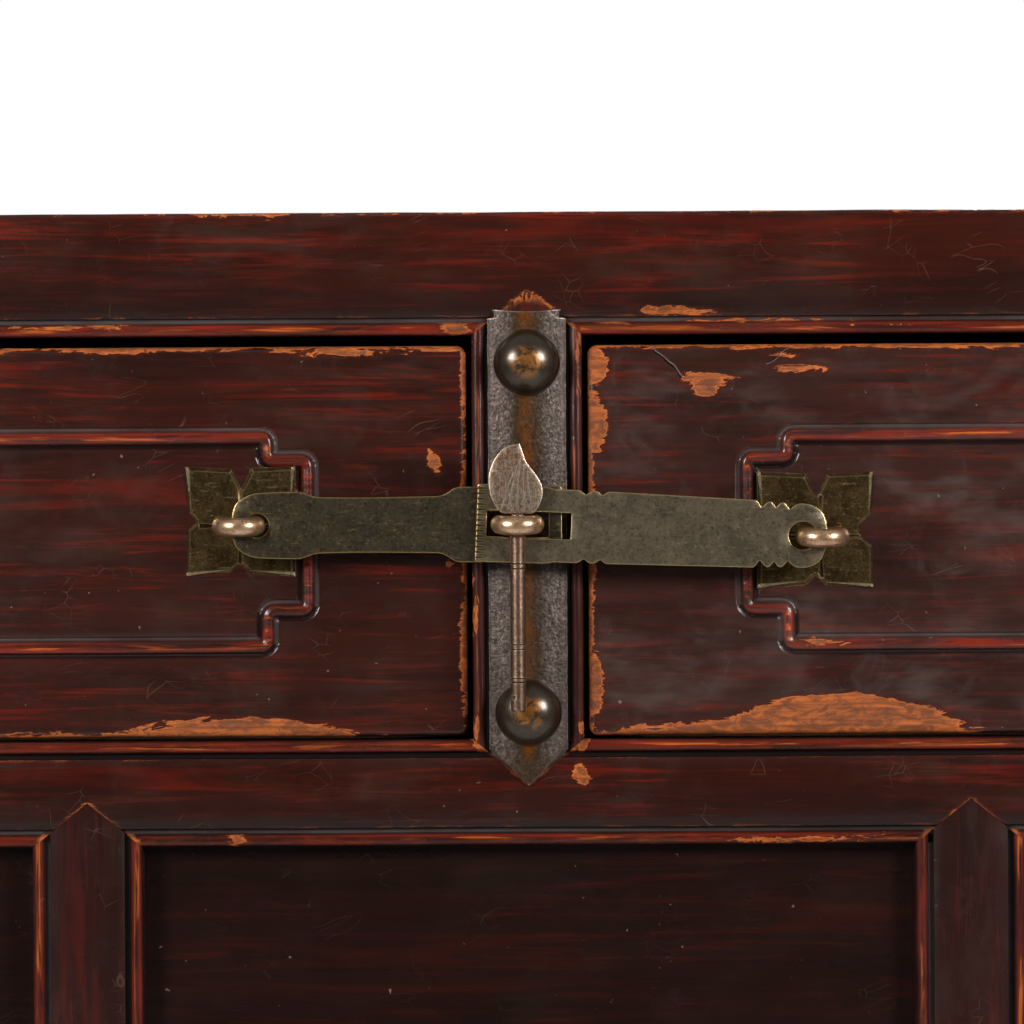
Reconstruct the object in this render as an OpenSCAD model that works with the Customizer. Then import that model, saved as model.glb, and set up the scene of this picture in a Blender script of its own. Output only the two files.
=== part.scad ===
// Two-drawer side table with a flush beaded frame, pointed shoulder joints and a brass pin lock.
// Millimetres, Z up. The front looks along -Y; the origin is on the floor under the middle of the whole.
// Members are drawn with the table's front plane at y = 0 and then moved back by front_y.

/* [Table] */
// Width over the legs
table_w = 930; // [820:1:1100]
// Depth over the legs
table_d = 430; // [380:1:500]
// Height of the top above the floor
table_h = 850; // [780:1:900]
// Width of each leg, on both of its faces
leg_w = 46; // [40:0.5:52]
// Width of the hoof at the floor
foot_w = 56; // [54:0.5:64]
// Height at which the hoof starts to spread
foot_h = 78; // [50:1:110]
// Height of the upright toe of the hoof
toe_h = 16; // [8:1:24]

/* [Top] */
// Height of the rails of the top frame
top_rail_h = 41; // [36:0.5:50]
// Breadth of those rails, seen from above
top_rail_d = 64; // [56:0.5:80]
// Thickness of the floating top panel
top_panel_t = 12; // [9:0.5:15]
// Tongue of the top panel in the rails
top_tongue = 8; // [5:0.5:12]
// Width of each batten under the top panel
batten_w = 30; // [20:1:40]
// Depth to which the battens' dovetail enters the panel
batten_let = 4; // [2:0.5:6]
// How much each side of the dovetail spreads
batten_flare = 1.5; // [0.5:0.1:3]
// Distance of the battens from the middle
batten_x = 210; // [120:1:260]

/* [Front members] */
// Width of the centre stile and of the short posts
stile_w = 36.6; // [32:0.2:44]
// Depth of rails, stile and posts
member_d = 30; // [27:0.5:36]
// Height of the rail under the drawers
drawer_rail_h = 35; // [30:0.5:42]
// Height of the frieze opening
frieze_h = 66; // [45:1:90]
// Height of the rail under the frieze
lower_rail_h = 32; // [28:0.5:40]
// Slope of the pointed shoulders
shoulder_a = 39; // [30:1:45]
// Thickness of the pointed part of a shoulder
shoulder_t = 9; // [7:0.5:10]

/* [Moulding] */
// Width of the bead along an edge
bead_w = 4.4; // [3:0.1:5.5]
// How far the bead's crest lies behind the crown
bead_set = 0.7; // [0.2:0.1:1.5]
// Fall of the crowned face from its crest to the groove
crown_fall = 2.4; // [1.5:0.1:3.5]
// Radius of the groove beside the bead
groove_r = 1.7; // [1:0.1:2.2]

/* [Joints] */
// Distance of the tenons behind the face
tenon_set = 14; // [12:0.5:16]
// Thickness of the tenons
tenon_t = 10; // [7:0.5:12]
// Shoulder above and below a tenon
tenon_shoulder = 6; // [4:0.5:8]
// Length of the tenons of the stile and the posts
post_tenon = 16; // [8:0.5:17]
// Wood left between two tenons that meet in a leg
tenon_apart = 2; // [1:0.5:4]
// Side of the two square tenons on top of each leg
leg_tenon = 12; // [8:0.5:13]

/* [Panels and aprons] */
// Distance of the panels behind the face
panel_set = 10; // [9.5:0.5:12]
// Thickness of the panels
panel_t = 8; // [6:0.5:10]
// Depth of a panel's or an apron's edge in its groove
tongue = 5; // [3:0.5:5.5]
// Distance of the aprons behind the face
apron_set = 8; // [5:0.5:9]
// Thickness of the aprons
apron_t = 10; // [8:0.5:14]
// Height of the aprons between their lobes
apron_h = 40; // [30:1:60]
// Height of the apron's brackets beside the legs
bracket_h = 112; // [90:1:140]
// Width of a bracket's foot
bracket_w = 15; // [10:0.5:24]
// Radius of the largest lobe of a bracket
lobe_r = 22; // [16:0.5:28]
// Width of the raised rim along an apron's lower edge
rim_w = 2.6; // [1.5:0.1:4]
// Height of that rim over the apron's face
rim_h = 1.2; // [0.6:0.1:2]

/* [Drawers] */
// Height of the drawer fronts
drawer_h = 129; // [110:1:140]
// Gap over a drawer front
gap_top = 3.3; // [1.5:0.1:5]
// Gap under a drawer front
gap_bottom = 1; // [0.6:0.1:2]
// Gap at each side of a drawer
gap_side = 1.7; // [0.8:0.1:3]
// Distance of the drawer fronts behind the crown of the rails
drawer_set = 2.5; // [1:0.1:5]
// Thickness of the drawer fronts
front_t = 20; // [16:0.5:24]
// Radius of the corners of the drawer fronts
front_r = 3; // [1:0.5:6]
// Thickness of the drawer sides
side_t = 11; // [8:0.5:14]
// Thickness of the drawer backs
back_t = 10; // [8:0.5:14]
// Thickness of the drawer bottoms
bottom_t = 6; // [4:0.5:8]
// Height of the drawer bottoms above the lower edge
bottom_rise = 9; // [6:0.5:14]
// How much lower the sides are than the front
side_drop = 9; // [5:0.5:20]
// Depth of the grooves and housings in the drawer boards
housing = 4; // [2:0.5:5]
// Length of the dovetails in the drawer front
tail_l = 12; // [8:0.5:13]
// Root width of each dovetail
tail_w = 20; // [14:0.5:26]
// Spread of each side of a dovetail
tail_flare = 2.5; // [1:0.5:4]
// Space behind a closed drawer
back_clear = 14; // [6:1:40]

/* [Drawer bead frame] */
// Height of the stepped bead frame
field_h = 69; // [50:1:80]
// Distance of the frame's ends from the drawer's ends
field_margin = 52.5; // [30:0.5:70]
// Length of the narrow tab at each end of the frame
tab_l = 13.4; // [8:0.2:20]
// Step of the tab at its top
tab_up = 7.6; // [4:0.2:12]
// Step of the tab at its bottom
tab_down = 12; // [6:0.2:16]
// Width of the bead of the frame
field_bead_w = 4.3; // [3:0.1:6]
// Height of that bead over the front
field_bead_h = 1.5; // [0.8:0.1:2]
// Width of the groove on each side of that bead
field_groove_w = 1.2; // [0.5:0.1:1.6]
// Depth of those grooves
field_groove_d = 0.6; // [0.3:0.1:0.9]

/* [Runners] */
// Height of the drawer runners
runner_h = 18; // [14:0.5:24]
// How far a runner reaches under a drawer
runner_reach = 20; // [14:0.5:28]
// Gap between a drawer side and what it slides on or along
slide_gap = 0.3; // [0.2:0.05:0.6]
// Height of the guides beside the drawers
guide_h = 22; // [14:0.5:30]
// Height of the kicker over the drawers
kicker_h = 14; // [10:0.5:20]
// Depth to which the ends of these bars enter the rails
bar_end = 6; // [3:0.5:8]

/* [Lock plate and bosses] */
// Width of the plate over the stile
plate_w = 26; // [20:0.5:28]
// Thickness of that plate
plate_t = 1.2; // [0.8:0.1:2]
// How far the plate reaches over the top rail
plate_up = 8.5; // [4:0.5:12]
// Length of the plate below the drawer opening, with its point
plate_down = 15; // [12:0.5:22]
// Length of the point alone
plate_point = 12; // [8:0.5:16]
// Depth of the corner notches at the head of the plate
plate_notch = 2.6; // [1:0.2:4]
// Radius of the domed bosses
boss_r = 11; // [8:0.5:12]
// Height of the bosses
boss_h = 9; // [6:0.5:10]
// Distance of each boss from the end of the drawer opening
boss_in = 9; // [4:0.5:16]
// Diameter of the nail shanks of the bosses
shank_d = 3.2; // [2:0.2:5]
// Length of the nail shanks in the wood
shank_l = 12; // [8:1:20]

/* [Hasps] */
// Distance of the left ring from the middle of the table
ring_left_x = 94.7; // [80:0.1:110]
// Distance of the right ring from the middle of the table
ring_right_x = 96.7; // [80:0.1:110]
// How much lower the right ring sits than the left one
ring_right_drop = 4.6; // [0:0.1:6]
// Diameter of the wire of the rings and of the lock staple
wire_d = 6.2; // [5:0.1:6.6]
// Inner width of the rings and of the lock staple
ring_in = 5.6; // [5.4:0.1:7]
// Thickness of the hasps
hasp_t = 1.8; // [1.2:0.1:2.2]
// Air between the left and the right hasp, and before the pin
hasp_air = 0.4; // [0.3:0.1:0.6]
// Radius of the rounded eye of the left hasp
eye_left_r = 11.2; // [10:0.1:13]
// Radius of the rounded eye of the right hasp
eye_right_r = 10.6; // [10:0.1:13]
// Width of the strap of the left hasp
strap_left_w = 18.8; // [14:0.2:22]
// Width of the strap of the right hasp at its narrow end
strap_right_w = 22; // [16:0.2:26]
// Width of both hasps at the lock
lock_end_w = 25.2; // [22:0.2:30]
// Radius of the hole in the left hasp
hole_left_r = 3.9; // [3.8:0.1:4.4]
// Radius of the hole in the right hasp
hole_right_r = 4.6; // [3.8:0.1:4.8]
// Metal of the left hasp beyond the axis of its ring
tip_left = 2.2; // [1:0.1:2.2]
// Metal of the right hasp beyond the axis of its ring
tip_right = 1.4; // [1:0.1:2.2]
// Length of the slots over the lock staple
slot_l = 20.6; // [19.6:0.2:23]
// Extra length of the right hasp's slot, away from the lock
slot_extra = 7; // [0:0.5:10]
// Height of those slots
slot_h = 8.6; // [8:0.2:11]
// Metal left at the end of the slots
slot_land = 5; // [4:0.2:8]
// Distance of the lock from the middle of the table, to the left
lock_off = 3.3; // [0:0.1:5]
// Height of the lock over the drawers' lower edge
lock_rise = 70; // [60:0.5:80]

/* [Hasp plates] */
// Side of the notched plates behind the rings
calyx_w = 36.5; // [30:0.5:40]
// Thickness of those plates
calyx_t = 1.8; // [1:0.1:2.5]
// Depth of the notch in the middle of each side
calyx_notch = 6.4; // [3:0.2:9]
// Diameter of the legs of the rings and of the lock staple
leg_d = 4; // [3:0.2:5]
// How far the clinched legs stand out behind the wood
clinch = 2.4; // [1.5:0.1:4]

/* [Lock pin] */
// Diameter of the pin's shaft
pin_d = 5.2; // [4:0.1:5.3]
// Length of the shaft under the head
pin_l = 64.8; // [50:0.2:70]
// Radius of the round part of the leaf head
leaf_r = 8.75; // [7:0.1:10]
// Thickness of the leaf head
leaf_t = 2.6; // [1.6:0.1:4]
// Radius of the incised rings on the shaft
ring_cut = 0.3; // [0.2:0.05:0.4]

/* [Hidden] */
$fn = 64;
past = 1; // cutters run this far past a face
seat = 0.05; // paper-thin play between curved metal and what it lies on

lacquer = "#4a1712";
dark_lacquer = "#2c100e";
bare_wood = "#a9713f";
inner_wood = "#8a6a48";
bronze = "#5b5038";
brass = "#7d6c3c";
copper = "#a5744e";
pewter = "#57524c";

// Heights of the members above the floor
open_top = table_h - top_rail_h;
open_bottom = open_top - gap_top - drawer_h - gap_bottom;
frieze_top = open_bottom - drawer_rail_h;
frieze_bottom = frieze_top - frieze_h;
apron_top = frieze_bottom - lower_rail_h;

// Places across the width and the depth
inner_x = table_w / 2 - leg_w;
inner_span_y = table_d - 2 * leg_w;
bay_w = (2 * inner_x - 2 * stile_w) / 3;
post_x = (bay_w + stile_w) / 2;
panel_back = panel_set + panel_t;
apron_back = apron_set + apron_t;
leg_tenon_l = leg_w - tenon_set - tenon_t - tenon_apart;
function shoulder_l(w) = w / 2 * tan(shoulder_a);
stile_crown_half = stile_w / 2 - bead_w;
stile_crown_r = (pow(stile_crown_half, 2) + pow(crown_fall, 2)) / (2 * crown_fall);

// Drawers
drawer_x0 = stile_w / 2 + gap_side;
drawer_x1 = inner_x - gap_side;
drawer_w = drawer_x1 - drawer_x0;
drawer_z0 = open_bottom + gap_bottom;
drawer_y1 = table_d - panel_back - back_clear;
side_z0 = open_bottom + slide_gap;
side_z1 = drawer_z0 + drawer_h - side_drop;
field_z = drawer_z0 + drawer_h / 2;

// Lock: depths of the stack, measured forward of the crowned face
lock_x = -lock_off;
lock_z = drawer_z0 + lock_rise;
plate_front = plate_t + seat;
wire_r = wire_d / 2;
ring_mid_r = ring_in / 2 + wire_r;
ring_out_r = ring_mid_r + wire_r;
ring_left_y = -(calyx_t - drawer_set + ring_out_r);
ring_right_y = ring_left_y - hasp_t - hasp_air;
ring_right_z = lock_z - ring_right_drop;
pin_y = ring_right_y - hasp_t / 2 - hasp_air - pin_d / 2;
staple_front_y = pin_y - pin_d / 2 - (ring_in - pin_d) / 2 - wire_r;
hardware_out = -(staple_front_y - wire_r);
plate_top = open_top + plate_up;
plate_bottom = open_bottom - plate_down;
boss_low_r = (boss_r * boss_r + boss_h * boss_h) / (2 * boss_h);

// The front plane, so that the whole stands centred over the origin
front_y = -(table_d - hardware_out) / 2;

// Extrudes an outline of the X-Z plane from depth y0 to depth y1
module slab(y0, y1) {
  translate([0, y1, 0]) rotate([90, 0, 0]) linear_extrude(y1 - y0) children();
}

// Block between two opposite corners
module block(low, high) {
  translate(low) cube(high - low);
}

// Moves a piece from the front plane's frame into the table's frame
module placed() {
  translate([0, front_y, 0]) children();
}

// Turns a piece made for the front to the back of the table
module at_back() {
  translate([0, table_d, 0]) mirror([0, 1, 0]) children();
}

// Turns a piece made for the front to the left side of the table
module at_left() {
  translate([-table_w / 2, table_d / 2, 0]) rotate([0, 0, -90]) children();
}

module at_right() {
  mirror([1, 0, 0]) at_left() children();
}

// Section with a crowned face from the outer edge and one bead, of width w and depth d
module edge_section(w, d) {
  crest = 0.3 * w;
  reach = w - bead_w - crest;
  r = (reach * reach + crown_fall * crown_fall) / (2 * crown_fall);
  bead_x = w - bead_w / 2 - 0.3;
  bead_y = bead_set + bead_w / 2;
  difference() {
    union() {
      translate([0, bead_y]) square([w, d - bead_y]);
      intersection() {
        translate([crest, r]) circle(r = r, $fn = 96);
        square([w - bead_w, bead_y + past]);
      }
    }
    translate([w - bead_w - 0.6, crown_fall]) circle(r = groove_r, $fn = 48);
  }
  translate([bead_x, bead_y]) circle(d = bead_w, $fn = 48);
}

// Section with a crowned face between two beads, centred on x
module double_section(w, d) {
  half = w / 2 - bead_w;
  r = (half * half + crown_fall * crown_fall) / (2 * crown_fall);
  bead_y = bead_set + bead_w / 2;
  difference() {
    union() {
      translate([-w / 2, bead_y]) square([w, d - bead_y]);
      intersection() {
        translate([0, r]) circle(r = r, $fn = 96);
        translate([-half, 0]) square([2 * half, bead_y + past]);
      }
    }
    for (s = [-1, 1]) translate([s * (half + 0.6), crown_fall]) circle(r = groove_r, $fn = 48);
  }
  for (s = [-1, 1]) translate([s * (w / 2 - bead_w / 2 - 0.3), bead_y]) circle(d = bead_w, $fn = 48);
}

// Outline that cuts one end of a bar of width w to a point, outside x = 0
module point_cut(w) {
  p = shoulder_l(w);
  polygon([[0, w / 2], [p, 0], [0, -w / 2], [0, -w / 2 - past], [p + past, -w / 2 - past],
    [p + past, w / 2 + past], [0, w / 2 + past]]);
}

// Notch that takes the point of a bar of width w, entering along +X from x = 0
module point_notch(w) {
  p = shoulder_l(w);
  slab(-past, shoulder_t) polygon([[-past, w / 2], [0, w / 2], [p, 0], [0, -w / 2], [-past, -w / 2]]);
}

// Tenon of length l on a bar of width w, from x = 0
module bar_tenon(w, l) {
  block([0, tenon_set, -w / 2 + tenon_shoulder], [l, tenon_set + tenon_t, w / 2 - tenon_shoulder]);
}

// Beaded bar along X with pointed shoulders and tenons at both ends, l between its shoulders
module pointed_bar(l, w, tenon) {
  p = shoulder_l(w);
  difference() {
    translate([-l / 2 - p, 0, 0]) rotate([0, 90, 0]) linear_extrude(l + 2 * p) double_section(w, member_d);
    for (s = [0, 1]) mirror([s, 0, 0]) translate([l / 2, 0, 0]) {
      slab(-past, member_d + past) point_cut(w);
      block([0, shoulder_t, -w / 2 - past], [p + past, member_d + past, w / 2 + past]);
    }
  }
  for (s = [0, 1]) mirror([s, 0, 0]) translate([l / 2, 0, 0]) bar_tenon(w, tenon);
}

// Upright version of the same bar, centred at height z
module upright_bar(l, w, tenon, z) {
  translate([0, 0, z]) rotate([0, 90, 0]) pointed_bar(l, w, tenon);
}

// Notch and mortise for the end of an upright bar that enters upward (up = 1) or downward (up = -1)
module upright_seat(w, tenon, up) {
  rotate([0, -90 * up, 0]) {
    point_notch(w);
    bar_tenon(w, tenon);
  }
}

// Rail of the top frame along X for a side of the given span, with three-way mitred ends
module top_rail(span) {
  difference() {
    translate([-span / 2, 0, table_h]) rotate([0, 90, 0]) linear_extrude(span)
      edge_section(top_rail_h, top_rail_d);
    for (s = [0, 1]) mirror([s, 0, 0]) translate([-span / 2, 0, 0]) {
      translate([0, 0, open_top - past]) linear_extrude(top_rail_h + 2 * past)
        polygon([[-past, -past], [top_rail_d + past, top_rail_d + past], [-past, top_rail_d + past]]);
      slab(-past, top_rail_d + past)
        polygon([[0, table_h], [leg_w, open_top], [leg_w, open_top - past], [-past, open_top - past],
          [-past, table_h]]);
      leg_top_tenons();
    }
    block([-span / 2, top_rail_d - top_tongue, table_h - top_panel_t], [span / 2, top_rail_d + past,
      table_h - top_panel_t + top_panel_t / 2]);
  }
}

// Two square tenons on top of a leg, one for each rail of the top frame
module leg_top_tenons() {
  near = leg_w / 4;
  far = leg_w - leg_tenon - tongue;
  low = open_top;
  high = table_h - top_panel_t - 6;
  block([far, near, low], [far + leg_tenon, near + leg_tenon, high]);
  block([near, far, low], [near + leg_tenon, far + leg_tenon, high]);
}

// Everything that the front takes into its legs, in the frame of one side of half width half
module leg_seats(half) {
  for (m = [[drawer_rail_h, open_bottom], [lower_rail_h, frieze_bottom]])
    translate([-half, 0, m[1] - m[0] / 2]) mirror([1, 0, 0]) {
      point_notch(m[0]);
      bar_tenon(m[0], leg_tenon_l);
    }
  panel(half, frieze_bottom, frieze_top);
  apron(half);
}

// Leg at the front left corner; panels fill its left side and, on a back leg, its other face too
module leg(back) {
  spread = foot_w - leg_w;
  rise = foot_h - toe_h;
  r = (rise * rise + spread * spread) / (2 * spread);
  difference() {
    union() {
      translate([-table_w / 2, 0, 0]) {
        linear_extrude(table_h) intersection() {
          edge_section(leg_w, leg_w);
          mirror([1, -1, 0]) edge_section(leg_w, leg_w);
        }
        intersection() {
          slab(bead_set, foot_w) hoof_outline(r);
          mirror([1, -1, 0]) slab(bead_set, foot_w) hoof_outline(r);
        }
      }
    }
    translate([-table_w / 2, 0, 0]) for (turn = [0, 1]) mirror([turn, -turn, 0])
      slab(-past, leg_w + past) polygon([[0, table_h], [leg_w, open_top], [leg_w + past, open_top],
        [leg_w + past, table_h + past], [0, table_h + past]]);
    leg_seats(inner_x);
    at_left() mirror([1, 0, 0]) {
      leg_seats(inner_span_y / 2);
      panel(inner_span_y / 2, open_bottom, open_top);
    }
    if (back) panel(inner_x, open_bottom, open_top);
  }
  translate([-table_w / 2, 0, 0]) leg_top_tenons();
}

// Outline of the hoof's inner curve, with a radius that meets the leg upright
module hoof_outline(r) {
  difference() {
    square([foot_w, foot_h]);
    translate([leg_w + r, foot_h]) circle(r = r, $fn = 96);
    translate([leg_w + r / 2, toe_h]) square([r, foot_h]);
  }
}

// Board set in grooves all round an opening of half width half
module panel(half, z0, z1) {
  block([-half - tongue, panel_set, z0 - tongue], [half + tongue, panel_back, z1 + tongue]);
}

// Scalloped outline of an apron with cloud brackets, its lower edge moved in by less
module apron_outline(half, less) {
  translate([-half - tongue, less - apron_h]) square([2 * (half + tongue), apron_h + tongue - less]);
  for (s = [0, 1]) mirror([s, 0]) {
    translate([-half - tongue, less - bracket_h]) square([bracket_w + tongue - less, bracket_h - less]);
    translate([-half + bracket_w, -apron_h])
      for (lobe = [[0.55, -0.2, 1], [1.8, 0.1, 0.68], [2.8, 0.18, 0.46], [-0.1, -1.6, 0.64]])
        translate([lobe[0] * lobe_r, lobe[1] * lobe_r]) circle(r = lobe[2] * lobe_r - less);
    translate([1.2 * lobe_r, 0.15 * lobe_r - apron_h]) circle(r = 0.5 * lobe_r);
  }
  translate([0, 0.2 * lobe_r - apron_h]) circle(r = 0.9 * lobe_r - less);
}

// Apron board under a rail, with its edges in the grooves
module apron(half) {
  slab(apron_set, apron_back) translate([0, apron_top]) apron_outline(half, 0);
}

// Apron with a raised rim along its lower edge, between the legs
module rimmed_apron(half) {
  apron(half);
  slab(apron_set - rim_h, apron_set + past) translate([0, apron_top]) intersection() {
    difference() {
      apron_outline(half, 0);
      apron_outline(half, rim_w);
    }
    translate([-half, -2 * bracket_h]) square([2 * half, 2 * bracket_h]);
  }
}

// Rail under the drawers or its like on another side
module upper_bar(half) {
  difference() {
    translate([0, 0, open_bottom - drawer_rail_h / 2]) pointed_bar(2 * half, drawer_rail_h, leg_tenon_l);
    panel(half, frieze_bottom, frieze_top);
  }
}

// Rail under the frieze, on any side
module lower_bar(half) {
  difference() {
    translate([0, 0, frieze_bottom - lower_rail_h / 2]) pointed_bar(2 * half, lower_rail_h, leg_tenon_l);
    panel(half, frieze_bottom, frieze_top);
    apron(half);
  }
}

// Space in front of the stile's crown that the rails lose under the lock plate
module plate_bed() {
  half = plate_w / 2 + slide_gap;
  difference() {
    slab(-past, crown_fall + past) polygon([[0, plate_bottom - slide_gap], [half, plate_bottom + plate_point],
      [half, plate_top + slide_gap], [-half, plate_top + slide_gap], [-half, plate_bottom + plate_point]]);
    translate([0, stile_crown_r, 0]) cylinder(r = stile_crown_r, h = table_h, $fn = 128);
  }
}

module top_front_rail() color(lacquer) placed() difference() {
  top_rail(table_w);
  translate([0, 0, open_top]) upright_seat(stile_w, post_tenon, 1);
  plate_bed();
  kicker();
  battens();
}

module top_back_rail() color(lacquer) placed() difference() {
  at_back() top_rail(table_w);
  at_back() panel(inner_x, open_bottom, open_top);
  kicker();
  battens();
}

module top_end() difference() {
  top_rail(table_d);
  panel(inner_span_y / 2, open_bottom, open_top);
}

module top_end_left() color(lacquer) placed() at_left() top_end();

module top_end_right() color(lacquer) placed() at_right() top_end();

module top_panel() color(lacquer) placed() difference() {
  union() {
    block([-table_w / 2 + top_rail_d, top_rail_d, table_h - top_panel_t],
      [table_w / 2 - top_rail_d, table_d - top_rail_d, table_h]);
    block([-table_w / 2 + top_rail_d - top_tongue, top_rail_d - top_tongue, table_h - top_panel_t],
      [table_w / 2 - top_rail_d + top_tongue, table_d - top_rail_d + top_tongue,
        table_h - top_panel_t / 2]);
  }
  battens();
}

// Two battens across the panel's underside, with dovetailed backs and ends housed in the rails
module battens() {
  under = table_h - top_panel_t;
  for (x = [-batten_x, batten_x]) translate([x, 0, 0]) {
    block([-batten_w / 2, top_rail_d - bar_end, under - 0.8 * batten_w],
      [batten_w / 2, table_d - top_rail_d + bar_end, under]);
    slab(top_rail_d + past, table_d - top_rail_d - past) polygon([
      [batten_flare - batten_w / 2, under - past], [batten_w / 2 - batten_flare, under - past],
      [batten_w / 2, under + batten_let], [-batten_w / 2, under + batten_let]]);
  }
}

module top_battens() color(inner_wood) placed() battens();

module leg_front_left() color(lacquer) placed() leg(false);

module leg_front_right() color(lacquer) placed() mirror([1, 0, 0]) leg(false);

module leg_back_left() color(lacquer) placed() at_back() leg(true);

module leg_back_right() color(lacquer) placed() at_back() mirror([1, 0, 0]) leg(true);

module drawer_rail() color(lacquer) placed() difference() {
  upper_bar(inner_x);
  translate([0, 0, open_bottom]) upright_seat(stile_w, post_tenon, -1);
  for (x = [-post_x, post_x]) translate([x, 0, frieze_top]) upright_seat(stile_w, post_tenon, 1);
  plate_bed();
  runners();
}

module center_stile() color(lacquer) placed() difference() {
  upright_bar(open_top - open_bottom, stile_w, post_tenon, (open_top + open_bottom) / 2);
  for (z = [open_top - boss_in, open_bottom + boss_in]) translate([0, 0, z]) shank_hole();
  translate([lock_x, 0, lock_z]) leg_hole();
}

module lower_rail() color(lacquer) placed() difference() {
  lower_bar(inner_x);
  for (x = [-post_x, post_x]) translate([x, 0, frieze_bottom]) upright_seat(stile_w, post_tenon, -1);
}

module frieze_post(x) placed() difference() {
  translate([x, 0, 0]) upright_bar(frieze_h, stile_w, post_tenon, (frieze_top + frieze_bottom) / 2);
  for (i = [-1, 0, 1]) frieze_board(i);
}

module frieze_post_left() color(lacquer) frieze_post(-post_x);

module frieze_post_right() color(lacquer) frieze_post(post_x);

// One of the three boards of the front frieze
module frieze_board(i) {
  translate([i * (bay_w + stile_w), 0, 0]) panel(bay_w / 2, frieze_bottom, frieze_top);
}

module frieze_panel_left() color(dark_lacquer) placed() frieze_board(-1);

module frieze_panel_center() color(dark_lacquer) placed() frieze_board(0);

module frieze_panel_right() color(dark_lacquer) placed() frieze_board(1);

module apron_front() color(lacquer) placed() rimmed_apron(inner_x);

// Rail at the height of the one under the drawers, with a panel above it as well
module panelled_bar(half) difference() {
  upper_bar(half);
  panel(half, open_bottom, open_top);
}

module side_rail_left() color(lacquer) placed() at_left() panelled_bar(inner_span_y / 2);

module side_rail_right() color(lacquer) placed() at_right() panelled_bar(inner_span_y / 2);

module side_panel_left() color(dark_lacquer) placed() at_left()
  panel(inner_span_y / 2, open_bottom, open_top);

module side_panel_right() color(dark_lacquer) placed() at_right()
  panel(inner_span_y / 2, open_bottom, open_top);

module side_frieze_left() color(dark_lacquer) placed() at_left()
  panel(inner_span_y / 2, frieze_bottom, frieze_top);

module side_frieze_right() color(dark_lacquer) placed() at_right()
  panel(inner_span_y / 2, frieze_bottom, frieze_top);

module side_lower_rail_left() color(lacquer) placed() at_left() lower_bar(inner_span_y / 2);

module side_lower_rail_right() color(lacquer) placed() at_right() lower_bar(inner_span_y / 2);

module side_apron_left() color(lacquer) placed() at_left() rimmed_apron(inner_span_y / 2);

module side_apron_right() color(lacquer) placed() at_right() rimmed_apron(inner_span_y / 2);

module back_rail() color(lacquer) placed() difference() {
  at_back() panelled_bar(inner_x);
  runners();
}

module back_panel() color(dark_lacquer) placed() at_back() panel(inner_x, open_bottom, open_top);

module back_frieze() color(dark_lacquer) placed() at_back() panel(inner_x, frieze_bottom, frieze_top);

module back_lower_rail() color(lacquer) placed() at_back() lower_bar(inner_x);

module back_apron() color(lacquer) placed() at_back() rimmed_apron(inner_x);

// Runners from front to back: one under each outer drawer side, and a broad one in the middle
module runners() {
  y0 = member_d - bar_end;
  y1 = table_d - member_d + bar_end;
  z0 = open_bottom - runner_h;
  block([-stile_w / 2 - runner_reach, y0, z0], [stile_w / 2 + runner_reach, y1, open_bottom]);
  for (s = [0, 1]) mirror([s, 0, 0]) block([inner_x - runner_reach, y0, z0], [inner_x, y1, open_bottom]);
}

// Bar over the inner sides of both drawers; the end rails reach over their outer sides
module kicker() {
  block([-stile_w / 2 - runner_reach, top_rail_d - bar_end, open_top],
    [stile_w / 2 + runner_reach, table_d - top_rail_d + bar_end, open_top + kicker_h]);
}

module drawer_runners() color(inner_wood) placed() runners();

module drawer_kicker() color(inner_wood) placed() kicker();

module drawer_guides() color(inner_wood) placed() {
  block([slide_gap - drawer_x0, member_d, open_bottom],
    [drawer_x0 - slide_gap, table_d - panel_back, open_bottom + guide_h]);
  for (s = [0, 1]) mirror([s, 0, 0])
    block([drawer_x1 + slide_gap, leg_w, open_bottom],
      [table_w / 2 - panel_back, table_d - leg_w, open_bottom + guide_h]);
}

// Bore for a boss's nail, from the front into the wood
module shank_hole() {
  rotate([-90, 0, 0]) translate([0, 0, -3 * past]) cylinder(d = shank_d + 2 * seat, h = shank_l + 4 * past);
}

// Bore for the legs of a ring or of the lock staple, right through
module leg_hole() {
  rotate([-90, 0, 0]) translate([0, 0, -boss_r]) cylinder(d = leg_d + 2 * seat, h = table_d / 2);
}

// Curved plate over the stile, notched at the head and pointed at the foot
module stile_plate() color(pewter) placed() difference() {
  intersection() {
    translate([0, stile_crown_r, 0]) difference() {
      cylinder(r = stile_crown_r + plate_front, h = table_h, $fn = 128);
      translate([0, 0, -past]) cylinder(r = stile_crown_r + seat, h = table_h + 2 * past, $fn = 128);
    }
    slab(-plate_front - past, crown_fall + 2 * past) polygon([
      [0, plate_bottom], [plate_w / 2, plate_bottom + plate_point], [plate_w / 2, plate_top - plate_notch],
      [plate_w / 2 - plate_notch / 2, plate_top - plate_notch], [plate_w / 2 - plate_notch, plate_top],
      [plate_notch - plate_w / 2, plate_top], [plate_notch / 2 - plate_w / 2, plate_top - plate_notch],
      [-plate_w / 2, plate_top - plate_notch], [-plate_w / 2, plate_bottom + plate_point]]);
  }
  for (z = [open_top - boss_in, open_bottom + boss_in]) translate([0, 0, z]) shank_hole();
  translate([lock_x, 0, lock_z]) leg_hole();
}

// Domed boss that sits on the curved plate, with its nail
module boss(z) color(bronze) placed() {
  difference() {
    translate([0, boss_low_r - boss_h - plate_front, z]) sphere(r = boss_low_r, $fn = 96);
    translate([0, stile_crown_r, 0]) cylinder(r = stile_crown_r + plate_front + seat, h = table_h, $fn = 128);
  }
  translate([0, -plate_front - boss_h / 2, z]) rotate([-90, 0, 0])
    cylinder(d = shank_d, h = shank_l + plate_front + boss_h / 2);
}

module boss_upper() boss(open_top - boss_in);

module boss_lower() boss(open_bottom + boss_in);

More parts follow.
